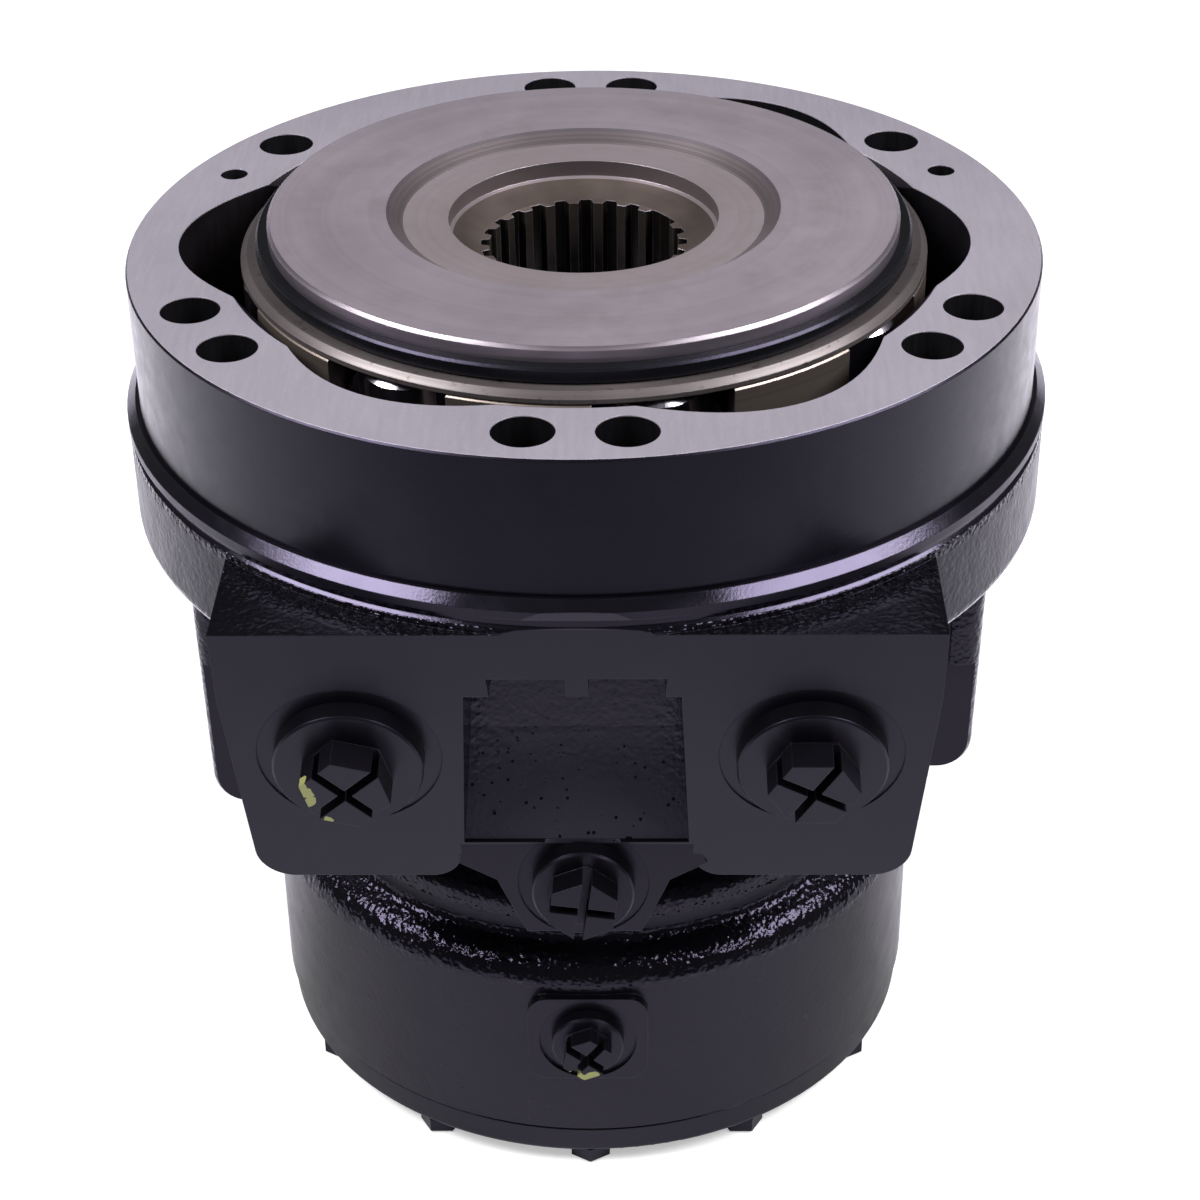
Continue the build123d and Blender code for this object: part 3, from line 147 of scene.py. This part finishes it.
# Places where the plugs' paint has missed the yellow plastic, each with its reach
PLUG_YELLOW = (0.32, 0.33, 0.12, 1.0)
BARE_SPOT_RAGGED = 0.003
LEFT_PLUG_SPOTS = (((-0.0616, -0.1165, -0.0780), 0.0032), ((-0.0608, -0.1168, -0.0803), 0.0033),
                   ((-0.0600, -0.1163, -0.0828), 0.0030), ((-0.0563, -0.1156, -0.0890), 0.0026))
BRAKE_PLUG_SPOTS = (((-0.0030, -0.0955, -0.1845), 0.0040), ((0.0010, -0.0955, -0.1850), 0.0040))


# Node helpers
class Tree:
    """Short calls for building a material's nodes."""

    def __init__(self, name):
        self.material = bpy.data.materials.new(name)
        self.material.use_nodes = True
        self.nodes = self.material.node_tree.nodes
        self.links = self.material.node_tree.links
        self.shader = self.nodes["Principled BSDF"]
        self.place = self.nodes.new("ShaderNodeTexCoord").outputs["Object"]

    def link(self, value, socket):
        if isinstance(value, (int, float, tuple)):
            socket.default_value = value
        else:
            self.links.new(value, socket)

    def set(self, **values):
        for name, value in values.items():
            self.link(value, self.shader.inputs[name.replace("_", " ")])

    def math(self, operation, a, b=0.0, c=0.0):
        node = self.nodes.new("ShaderNodeMath")
        node.operation = operation
        for value, socket in zip((a, b, c), node.inputs):
            self.link(value, socket)
        return node.outputs[0]

    def add(self, a, b):
        return self.math("ADD", a, b)

    def subtract(self, a, b):
        return self.math("SUBTRACT", a, b)

    def product(self, first, *others):
        for other in others:
            first = self.math("MULTIPLY", first, other)
        return first

    def scaled(self, value, factor, offset):
        """value times factor, plus offset."""
        return self.math("MULTIPLY_ADD", value, factor, offset)

    def inverse(self, value):
        """1 where value is 0, and 0 where it is 1."""
        return self.subtract(1.0, value)

    def larger(self, a, b):
        return self.math("MAXIMUM", a, b)

    def above(self, value, limit):
        return self.math("GREATER_THAN", value, limit)

    def under(self, value, limit):
        return self.math("LESS_THAN", value, limit)

    def near(self, value, target, reach):
        """1 where value is within reach of target."""
        return self.under(self.math("ABSOLUTE", self.subtract(value, target)), reach)

    def split(self, vector):
        node = self.nodes.new("ShaderNodeSeparateXYZ")
        self.link(vector, node.inputs[0])
        return tuple(node.outputs)

    def join(self, x, y, z):
        node = self.nodes.new("ShaderNodeCombineXYZ")
        for value, socket in zip((x, y, z), node.inputs):
            self.link(value, socket)
        return node.outputs[0]

    def normal(self):
        return self.nodes.new("ShaderNodeTexCoord").outputs["Normal"]

    def noise(self, scale, detail=3.0, roughness=0.5, vector=None):
        node = self.nodes.new("ShaderNodeTexNoise")
        self.link(self.place if vector is None else vector, node.inputs["Vector"])
        node.inputs["Scale"].default_value = scale
        node.inputs["Detail"].default_value = detail
        node.inputs["Roughness"].default_value = roughness
        return node.outputs["Fac"]

    def cells(self, scale, smooth=True):
        node = self.nodes.new("ShaderNodeTexVoronoi")
        node.feature = "SMOOTH_F1" if smooth else "F1"
        self.link(self.place, node.inputs["Vector"])
        node.inputs["Scale"].default_value = scale
        return node.outputs["Distance"]

    def ramp(self, value, low, high, start=0.0, end=1.0):
        """value mapped from low..high to start..end, held at both ends."""
        node = self.nodes.new("ShaderNodeMapRange")
        self.link(value, node.inputs[0])
        for socket, number in zip(node.inputs[1:5], (low, high, start, end)):
            socket.default_value = number
        return node.outputs[0]

    def mix(self, factor, a, b):
        node = self.nodes.new("ShaderNodeMix")
        node.data_type = "RGBA"
        self.link(factor, node.inputs["Factor"])
        self.link(a, node.inputs[6])
        self.link(b, node.inputs[7])
        return node.outputs[2]

    def bump(self, height, distance, strength=1.0, surface=None):
        """Relief of this height on the surface, which is a normal."""
        node = self.nodes.new("ShaderNodeBump")
        node.inputs["Strength"].default_value = strength
        node.inputs["Distance"].default_value = distance
        self.link(height, node.inputs["Height"])
        if surface is not None:
            self.link(surface, node.inputs["Normal"])
        return node.outputs[0]

    def round_edges(self, radius=EDGE_ROUND):
        """The normal, as if edges were rounded by radius."""
        node = self.nodes.new("ShaderNodeBevel")
        node.samples = 4
        node.inputs["Radius"].default_value = radius
        return node.outputs[0]

    def edges(self, radius=WORN_AND_LIT_EDGE):
        """1 within about radius of the piece's sharp edges, 0 elsewhere."""
        node = self.nodes.new("ShaderNodeVectorMath")
        node.operation = "DOT_PRODUCT"
        self.link(self.round_edges(radius), node.inputs[0])
        self.link(self.nodes.new("ShaderNodeNewGeometry").outputs["Normal"], node.inputs[1])
        return self.ramp(node.outputs["Value"], 0.86, 0.96, 1.0, 0.0)

    def radius(self):
        """Distance from the drive axis."""
        x, y = self.split(self.place)[:2]
        return self.math("SQRT", self.add(self.product(x, x), self.product(y, y)))

    def distance(self, point):
        node = self.nodes.new("ShaderNodeVectorMath")
        node.operation = "DISTANCE"
        self.link(self.place, node.inputs[0])
        node.inputs[1].default_value = point
        return node.outputs["Value"]

    def height(self):
        return self.split(self.place)[2]


def grey(value, tint=NO_TINT):
    return (value * tint[0], value * tint[1], value * tint[2], 1.0)


def black_clouds(t, amount):
    """Black paint that is a little darker and lighter in places, by amount."""
    return t.mix(amount, grey(BLACK * 0.8, PAINT_TINT), grey(BLACK * 1.3, PAINT_TINT))


# Housing
def cast_zones(t):
    """The housing's zones, 1 on their faces and 0 elsewhere, with height and the pocket's raggedness."""
    x, y, z = t.split(t.place)
    ny, nz = t.split(t.normal())[1:]
    facing = t.product(ny, -1.0)
    behind = t.add(t.product(t.subtract(y, PORT_FACE_Y), cos(PORT_TILT)),
                   t.product(t.subtract(z, PORT_Z), sin(PORT_TILT)))
    low, high = POCKET_HEIGHTS
    aside = t.math("ABSOLUTE", t.subtract(x, POCKET_X))
    pocket = t.product(t.under(aside, POCKET_HALF_WIDTH),
                       t.near(z, (low + high) / 2, (high - low) / 2),
                       t.above(behind, 0.0008), t.above(facing, 0.2))
    lip = t.above(z, LIP_LOW)
    machined = t.product(t.near(behind, 0.0, 0.0006), t.above(facing, 0.97))
    front = t.product(t.above(facing, 0.999), t.inverse(pocket))
    for depth in FRONT_FACES_Y:
        machined = t.larger(machined, t.product(t.near(y, depth, 0.0012), front))
    machined = t.larger(t.larger(machined, lip), t.under(z, FOOT_HIGH))
    upright = t.ramp(t.inverse(t.math("ABSOLUTE", nz)), *UPRIGHT)
    return SimpleNamespace(
        z=z, pocket=pocket, lip=lip, machined=machined,
        ragged=t.ramp(aside, 0.60 * POCKET_HALF_WIDTH, 0.85 * POCKET_HALF_WIDTH, 0.35, 1.0),
        wall=t.product(upright, t.under(z, LOWER_WALL_HIGH)),
        rim=t.product(t.above(z, RIM_LOW), t.above(t.radius(), RIM_RADIUS), upright),
        ledge=t.product(t.above(nz, 0.9), t.above(z, LEDGE_LOW)),
        strip=t.product(t.ramp(t.radius(), *STRIP_RADII, 1.0, 0.0), t.near(z, STRIP_Z, 0.0008)))


def relief_share(t, zone):
    """How much of the relief is left: less on wall, rim and ledge and in the pocket's middle."""
    share = t.scaled(zone.wall, -0.90, t.scaled(zone.rim, -0.55, 1.0))
    share = t.product(share, t.scaled(zone.pocket, t.subtract(zone.ragged, 1.0), 1.0))
    return t.product(share, t.scaled(zone.ledge, -0.60, 1.0))


def casting_holes(t, zone):
    """Small holes, in patches and all over the pocket."""
    holes = t.under(t.cells(420.0, smooth=False), 0.17)
    holes = t.product(holes, t.larger(zone.pocket, t.ramp(t.noise(90.0, 2.0), 0.54, 0.56)))
    return t.product(holes, t.ramp(t.noise(200.0, 2.0), 0.46, 0.50))


def casting_normal(t, zone, holes, cast):
    """Waves, lumps and grit of the casting under a thin skin of paint."""
    relief = t.subtract(t.product(t.noise(520.0, 2.0), 0.7), t.product(t.cells(800.0), 0.55))
    relief = t.add(relief, t.product(t.noise(170.0, 2.0), 0.9))
    relief = t.product(relief, t.scaled(zone.strip, 4.0, 1.0), relief_share(t, zone))
    relief = t.product(t.subtract(relief, t.product(holes, 0.2)), cast)
    coarse = t.bump(relief, 0.00045, 1.0, t.round_edges())
    return t.bump(t.noise(1500.0, 2.0), 0.00003, 0.6, coarse)


def casting_colour(t, zone, holes, cast):
    """Black paint; greyer in the pocket as painted sheen, most at its bottom; greyer on edges as wear and
    painted highlight; blacker in the holes as painted shade.
    """
    colour = black_clouds(t, t.ramp(t.noise(45.0, 3.0), 0.35, 0.7))
    # Painted sheen: the pocket's black paint is made grey, lighter below the ramp's top, for the sheen of
    # its forward-facing face.
    pocket_painted_sheen = t.mix(t.ramp(zone.z, *POCKET_RAMP_TOP), grey(0.033, PAINT_TINT), grey(0.016, PAINT_TINT))
    colour = t.mix(zone.pocket, colour, pocket_painted_sheen)
    # Painted highlight and wear: the paint's edges are made greyer in patches, for worn paint and for the
    # highlight the edges catch.
    worn_and_highlit = t.product(t.edges(), t.ramp(t.noise(60.0, 3.0), 0.35, 0.6, 0.2, 1.0), t.inverse(zone.pocket))
    colour = t.mix(worn_and_highlit, colour, grey(0.045, PAINT_TINT))
    # Painted shade: the holes are made blacker than the paint round them.
    return t.mix(t.product(holes, cast), colour, grey(BLACK * 0.2))


def casting_roughness(t, zone):
    """Roughness of the paint's gloss."""
    rough = t.scaled(t.larger(zone.machined, zone.wall), 0.19, 0.09)
    rough = t.scaled(zone.pocket, 0.12, rough)
    rough = t.scaled(zone.rim, 0.26, rough)
    rough = t.scaled(zone.lip, -0.15, rough)
    return t.add(rough, t.ramp(t.noise(160.0, 3.0), 0.3, 0.7, 0.0, 0.07))


def cast_paint():
    """Glossy black paint: rough where the casting is raw, smooth where it was machined."""
    t = Tree("cast_paint")
    zone = cast_zones(t)
    cast = t.inverse(zone.machined)
    holes = casting_holes(t, zone)
    t.set(Base_Color=casting_colour(t, zone, holes, cast), Roughness=casting_roughness(t, zone),
          Normal=casting_normal(t, zone, holes, cast),
          Specular_IOR_Level=t.scaled(zone.lip, 0.26, PAINT_SPECULAR), Specular_Tint=PAINT_SHEEN)
    return t.material


# Cam ring
def ring_material():
    """Cam ring: ground steel on the face, black paint outside, and inside the steel is painted nearly
    black as painted shade.
    """
    t = Tree("ring_steel_and_paint")
    x, y, z = t.split(t.place)
    radius = t.radius()
    inside = t.under(radius, RING_PAINT_RADIUS)
    hollow = t.product(inside, t.under(z, RING_FACE_LOW))
    steel = t.product(inside, t.above(z, RING_LOW + 0.0003))
    scratches = t.noise(60.0, 4.0, 0.6, t.join(t.product(x, 12.0), y, z))
    cloud = t.noise(16.0, 4.0, 0.6)
    marks = t.add(t.product(cloud, 0.75), t.product(t.noise(900.0, 2.0, 0.6), 0.25))
    face = t.mix(t.ramp(marks, 0.35, 0.65), grey(0.42, STEEL_TINT), grey(0.49, STEEL_TINT))
    # Painted shade: the inner wall's steel is made nearly black, for the shade and dark reflections inside
    # the ring.
    wall = t.mix(t.ramp(cloud, 0.3, 0.7), grey(0.03, STEEL_TINT), grey(0.06, STEEL_TINT))
    paint = black_clouds(t, t.ramp(t.noise(40.0), 0.4, 0.7))
    lathe = t.noise(700.0, 2.0, 0.5, t.join(0.0, 0.0, t.scaled(radius, 0.7, z)))
    steel_rough = t.ramp(scratches, 0.3, 0.7, 0.46, 0.56)
    paint_rough = t.ramp(t.noise(220.0, 3.0), 0.3, 0.7, 0.26, 0.34)
    rough = t.add(t.product(steel_rough, steel), t.product(paint_rough, t.inverse(steel)))
    relief = t.scaled(scratches, 0.3, lathe)
    metallic = t.product(steel, t.scaled(hollow, STEEL_DIFFUSE, 1.0 - STEEL_DIFFUSE))
    t.set(Base_Color=t.mix(steel, paint, t.mix(hollow, face, wall)), Metallic=metallic,
          Roughness=rough, Normal=t.bump(relief, 0.00003, 0.5, t.round_edges()),
          Specular_IOR_Level=PAINT_SPECULAR, Specular_Tint=PAINT_SHEEN)
    return t.material


# Turned and plain steel
def lathe_marks(t):
    """Fine rings, broad bands and soft clouds of a surface turned round the drive axis."""
    place = t.join(t.radius(), t.height(), 0.0)
    return t.noise(1600.0, 2.0, 0.5, place), t.noise(120.0, 3.0, 0.6, place), t.noise(24.0, 4.0, 0.6)


def plate_steel():
    """Retaining plates: turned steel with small rust stains."""
    t = Tree("plate_steel")
    rings, bands, cloud = lathe_marks(t)
    amount = t.add(t.product(bands, 0.45), t.product(cloud, 0.55))
    colour = t.mix(t.ramp(amount, 0.3, 0.7), grey(0.08, PLATE_TINT), grey(0.22, PLATE_TINT))
    stains = t.ramp(t.noise(420.0, 4.0, 0.7), 0.60, 0.72)
    colour = t.mix(t.product(stains, 0.9), colour, RUST)
    t.set(Base_Color=colour, Metallic=1.0 - STEEL_DIFFUSE, Roughness=t.ramp(rings, 0.3, 0.7, 0.3, 0.5),
          Normal=t.bump(rings, 0.000015, 0.5, t.round_edges()))
    return t.material


def disc_colour(t, bands, cloud, flat):
    """Grey turned disc with smears; what isn't level, such as chamfers and rim, is darker, as painted
    shade that tones down their highlight.
    """
    amount = t.add(t.product(bands, 0.35), t.product(cloud, 0.65))
    colour = t.mix(t.ramp(amount, 0.3, 0.7), grey(0.31, ROTOR_TINT), grey(0.46, ROTOR_TINT))
    colour = t.mix(t.ramp(t.noise(55.0, 5.0, 0.7), 0.5, 0.8, 0.0, 0.35), colour, SMEAR)
    # Painted shade: faces that aren't level are mixed towards dark grey.
    return t.mix(t.scaled(flat, -0.35, 0.35), colour, grey(0.10, ROTOR_TINT))


def spline_colour(t, radius, z):
    """Spline painted nearly black as painted shade, with painted light on the tooth tips, and darker
    further down.
    """
    # Painted light on the tooth tips and painted shade further down the bore.
    tip = t.ramp(radius, *SPLINE_TIP_RADII, 0.10, 0.02)
    deep = t.ramp(z, *SPLINE_SHADE_HEIGHTS, 0.10, 1.0)
    return t.mix(deep, SPLINE_PAINTED_SHADE, t.mix(tip, SPLINE_PAINTED_SHADE, SPLINE_TIP))


def block_steel():
    """Cylinder block: grey disc, olive pads, brown towards the spline; painted shade on the spline and on
    faces that aren't level; bright edges that are partly wear and partly painted highlight.
    """
    t = Tree("block_steel")
    radius = t.radius()
    z = t.height()
    flat = t.above(t.split(t.normal())[2], 0.9)
    rings, bands, cloud = lathe_marks(t)
    colour = disc_colour(t, bands, cloud, flat)
    pads = t.product(t.above(radius, PADS_RADIUS), t.under(z, PADS_HIGH))
    colour = t.mix(t.product(pads, 0.8), colour, OLIVE)
    recess = t.product(t.ramp(radius, *RECESS_RADII, 1.0, 0.0), t.under(z, RECESS_HIGH))
    colour = t.mix(t.product(recess, 0.30), colour, RECESS_BROWN)
    hub = t.product(t.under(radius, COUNTERBORE_RADIUS), t.under(z, HUB_HIGH))
    colour = t.mix(hub, colour, t.mix(t.ramp(cloud, 0.4, 0.6), *HUB_BROWNS))
    spline = t.product(t.under(radius, SPLINE_ROOT), t.under(flat, 0.5))
    colour = t.mix(spline, colour, spline_colour(t, radius, z))
    # Painted highlight: edges are mixed towards bright steel, partly for wear and partly for the highlight
    # the chamfers catch.
    colour = t.mix(t.product(t.edges(BLOCK_WORN_AND_LIT_EDGE), 0.4), colour, grey(0.75, STEEL_TINT))
    t.set(Base_Color=colour, Metallic=t.scaled(flat, -0.32, 0.82),
          Roughness=t.ramp(rings, 0.3, 0.7, 0.30, 0.40),
          Normal=t.bump(rings, 0.000015, 0.5, t.round_edges()))
    return t.material


def plain_steel(name, value, rough, tint=STEEL_TINT):
    """Ground or polished metal with faint clouds and fine scratches."""
    t = Tree(name)
    x, y, z = t.split(t.place)
    cloud = t.noise(60.0, 4.0, 0.6)
    scratch = t.noise(500.0, 2.0, 0.5, t.join(x, y, t.product(z, 0.08)))
    t.set(Base_Color=t.mix(t.ramp(cloud, 0.3, 0.7), grey(value * 0.85, tint), grey(value, tint)),
          Metallic=1.0, Roughness=t.ramp(scratch, 0.3, 0.7, rough * 0.8, rough * 1.2),
          Normal=t.bump(scratch, 0.00002, 0.3))
    return t.material


# Paint, plastic and rubber
def black_finish(name, value=BLACK, rough=0.3, tint=PAINT_TINT, bare_spots=()):
    """Smooth paint, plastic or rubber, with edges painted lighter, mostly as painted highlight and partly
    as wear; at bare_spots the plastic's own yellow shows.
    """
    t = Tree(name)
    colour = t.mix(t.ramp(t.noise(70.0), 0.35, 0.7), grey(value * 0.8, tint), grey(value * 1.2, tint))
    # Painted highlight: every edge is mixed towards grey, for the highlight the edges catch, with some
    # worn paint.
    colour = t.mix(t.product(t.edges(), 0.6), colour, grey(0.05, tint))
    ragged = t.product(t.noise(350.0, 3.0), BARE_SPOT_RAGGED)
    for spot, reach in bare_spots:
        colour = t.mix(t.under(t.add(t.distance(spot), ragged), reach), colour, PLUG_YELLOW)
    t.set(Base_Color=colour, Roughness=t.ramp(t.noise(200.0, 3.0), 0.3, 0.7, rough, rough + 0.08),
          Normal=t.bump(t.noise(1100.0, 2.0), 0.00003, 0.5, t.round_edges()),
          Specular_IOR_Level=PAINT_SPECULAR, Specular_Tint=PAINT_SHEEN)
    return t.material


def dress_outside():
    """Materials of the pieces that show from outside."""
    black = black_finish("black_paint")
    plate = plate_steel()
    return {
        "housing": cast_paint(), "cam_ring": ring_material(),
        "rear_cover": black, "cover_screws": black,
        "main_port_plug_left": black_finish("left_plug_paint", bare_spots=LEFT_PLUG_SPOTS),
        "main_port_plug_right": black, "drain_port_plug": black,
        "brake_port_plug": black_finish("brake_plug_paint", bare_spots=BRAKE_PLUG_SPOTS),
        "cylinder_block": block_steel(),
        "upper_retaining_plate": plate, "lower_retaining_plate": plate,
        "retaining_ring": black_finish("blackened_steel", 0.007, 0.22, BLACKENED_TINT),
    }


def dress_inside():
    """Materials of the seals, the distributor and the brake."""
    rubber = black_finish("seal_rubber", 0.02, 0.55, NO_TINT)
    spring = plain_steel("spring_steel", 0.4, 0.3)
    brake = plain_steel("brake_steel", 0.45, 0.3)
    return {
        "cam_ring_seal": rubber, "rear_cover_seal": rubber, "port_plug_seals": rubber,
        "distributor_seals": rubber, "brake_piston_seals": rubber,
        "shaft_bush": plain_steel("bush_bronze", 0.5, 0.3, BRONZE_TINT),
        "distributor": plain_steel("distributor_iron", 0.3, 0.35),
        "distributor_pins": spring, "distributor_spring": spring, "brake_disc_spring": spring,
        "brake_plates": brake, "brake_piston": brake,
        "brake_discs": black_finish("friction_lining", 0.09, 0.6, LINING_TINT),
        "brake_shaft": plain_steel("shaft_steel", 0.4, 0.3),
    }


def dress_pistons():
    """Materials of the pistons, their rings and their rollers."""
    piston = plain_steel("piston_steel", 0.45, 0.25)
    roller = plain_steel("roller_steel", 0.70, 0.20)
    ring_plastic = black_finish("piston_ring_plastic", 0.07, 0.45, PISTON_RING_TINT)
    chosen = {}
    for number in range(1, PISTON_COUNT + 1):
        chosen[f"piston_{number}"] = piston
        chosen[f"piston_ring_{number}"] = ring_plastic
        chosen[f"roller_{number}"] = roller
    return chosen


def dress_nodes():
    """Gives every CAD node its material."""
    chosen = {**dress_outside(), **dress_inside(), **dress_pistons()}
    for name, material in chosen.items():
        slots = nodes[name].data.materials
        slots.clear()
        slots.append(material)


# Camera, lamps and surroundings
def camera():
    """The camera at its fitted place: it looks along minus back, with right and up turned by the roll."""
    data = bpy.data.cameras.new("camera")
    data.lens = LENS
    data.sensor_width = SENSOR
    data.clip_start = CLIP_NEAR
    data.clip_end = CLIP_FAR
    azimuth, pitch, roll = CAMERA_AZIMUTH, CAMERA_PITCH, CAMERA_ROLL
    right = Vector((cos(azimuth), sin(azimuth), 0.0))
    back = Vector((sin(azimuth) * cos(pitch), -cos(azimuth) * cos(pitch), sin(pitch)))
    up = back.cross(right)
    rolled_right = cos(roll) * right + sin(roll) * up
    rolled_up = -sin(roll) * right + cos(roll) * up
    turn = Matrix((rolled_right, rolled_up, back)).transposed()
    place = bpy.data.objects.new("camera", data)
    place.matrix_world = Matrix.Translation(CAMERA_PLACE) @ turn.to_4x4()
    bpy.context.scene.collection.objects.link(place)
    bpy.context.scene.camera = place


def softbox(name, place, width, power):
    """Soft lamp that looks at the motor."""
    data = bpy.data.lights.new(name, "AREA")
    data.energy = power
    data.shape = "RECTANGLE"
    data.size = width
    data.size_y = LAMP_HEIGHT
    lamp = bpy.data.objects.new(name, data)
    lamp.location = place
    lamp.rotation_mode = "QUATERNION"
    lamp.rotation_quaternion = (Vector(LAMP_TARGET) - Vector(place)).to_track_quat("-Z", "Y")
    bpy.context.scene.collection.objects.link(lamp)


def surroundings():
    """White for the camera, dim for all other rays."""
    world = bpy.data.worlds.new("studio")
    bpy.context.scene.world = world
    world.use_nodes = True
    tree = world.node_tree
    background = tree.nodes["Background"]
    background.inputs["Color"].default_value = (1, 1, 1, 1)
    path = tree.nodes.new("ShaderNodeLightPath")
    strength = tree.nodes.new("ShaderNodeMapRange")
    tree.links.new(path.outputs["Is Camera Ray"], strength.inputs[0])
    strength.inputs[3].default_value = AMBIENT
    strength.inputs[4].default_value = 1.0
    tree.links.new(strength.outputs[0], background.inputs["Strength"])


def floor_white():
    """Pale floor; reflections see it dim in front of the motor and bright beside and behind it."""
    t = Tree("floor_white")
    path = t.nodes.new("ShaderNodeLightPath")
    glossy = path.outputs["Is Glossy Ray"]
    x, y = t.split(t.place)[:2]
    turn = t.math("ARCTAN2", y, t.math("ABSOLUTE", x))
    beside = t.ramp(turn, *BESIDE_ANGLES)
    in_front = t.product(t.ramp(y, *FRONT_DEPTHS, 1.0, 0.0), t.inverse(beside))
    t.set(Base_Color=t.mix(t.product(glossy, in_front), FLOOR_PALE, FLOOR_DIM), Roughness=0.9,
          Specular_IOR_Level=0.0, Emission_Color=t.mix(glossy, FLOOR_GLOW, FLOOR_REFLECTED_GLOW))
    far = t.ramp(t.distance((0.0, 0.0, FLOOR_Z)), *GLOW_DISTANCES, GLOW_NEAR, 1.0)
    seen = t.product(path.outputs["Is Camera Ray"], far)
    t.set(Emission_Strength=t.scaled(t.product(glossy, beside), REFLECTED_GLOW_STRENGTH, seen))
    return t.material


def lay_floor():
    """Wide flat floor under the rear cover."""
    mesh = bpy.data.meshes.new("floor")
    corners = [(-1, -1), (1, -1), (1, 1), (-1, 1)]
    mesh.from_pydata([(x * FLOOR_HALF, y * FLOOR_HALF, FLOOR_Z) for x, y in corners], [], [(0, 1, 2, 3)])
    mesh.materials.append(floor_white())
    floor = bpy.data.objects.new("floor", mesh)
    bpy.context.scene.collection.objects.link(floor)


camera()
surroundings()
lay_floor()
softbox("left_softbox", LEFT_LAMP_PLACE, LEFT_LAMP_WIDTH, LEFT_LAMP_POWER)
softbox("right_softbox", RIGHT_LAMP_PLACE, RIGHT_LAMP_WIDTH, RIGHT_LAMP_POWER)
dress_nodes()
bpy.context.scene.view_settings.view_transform = "Standard"
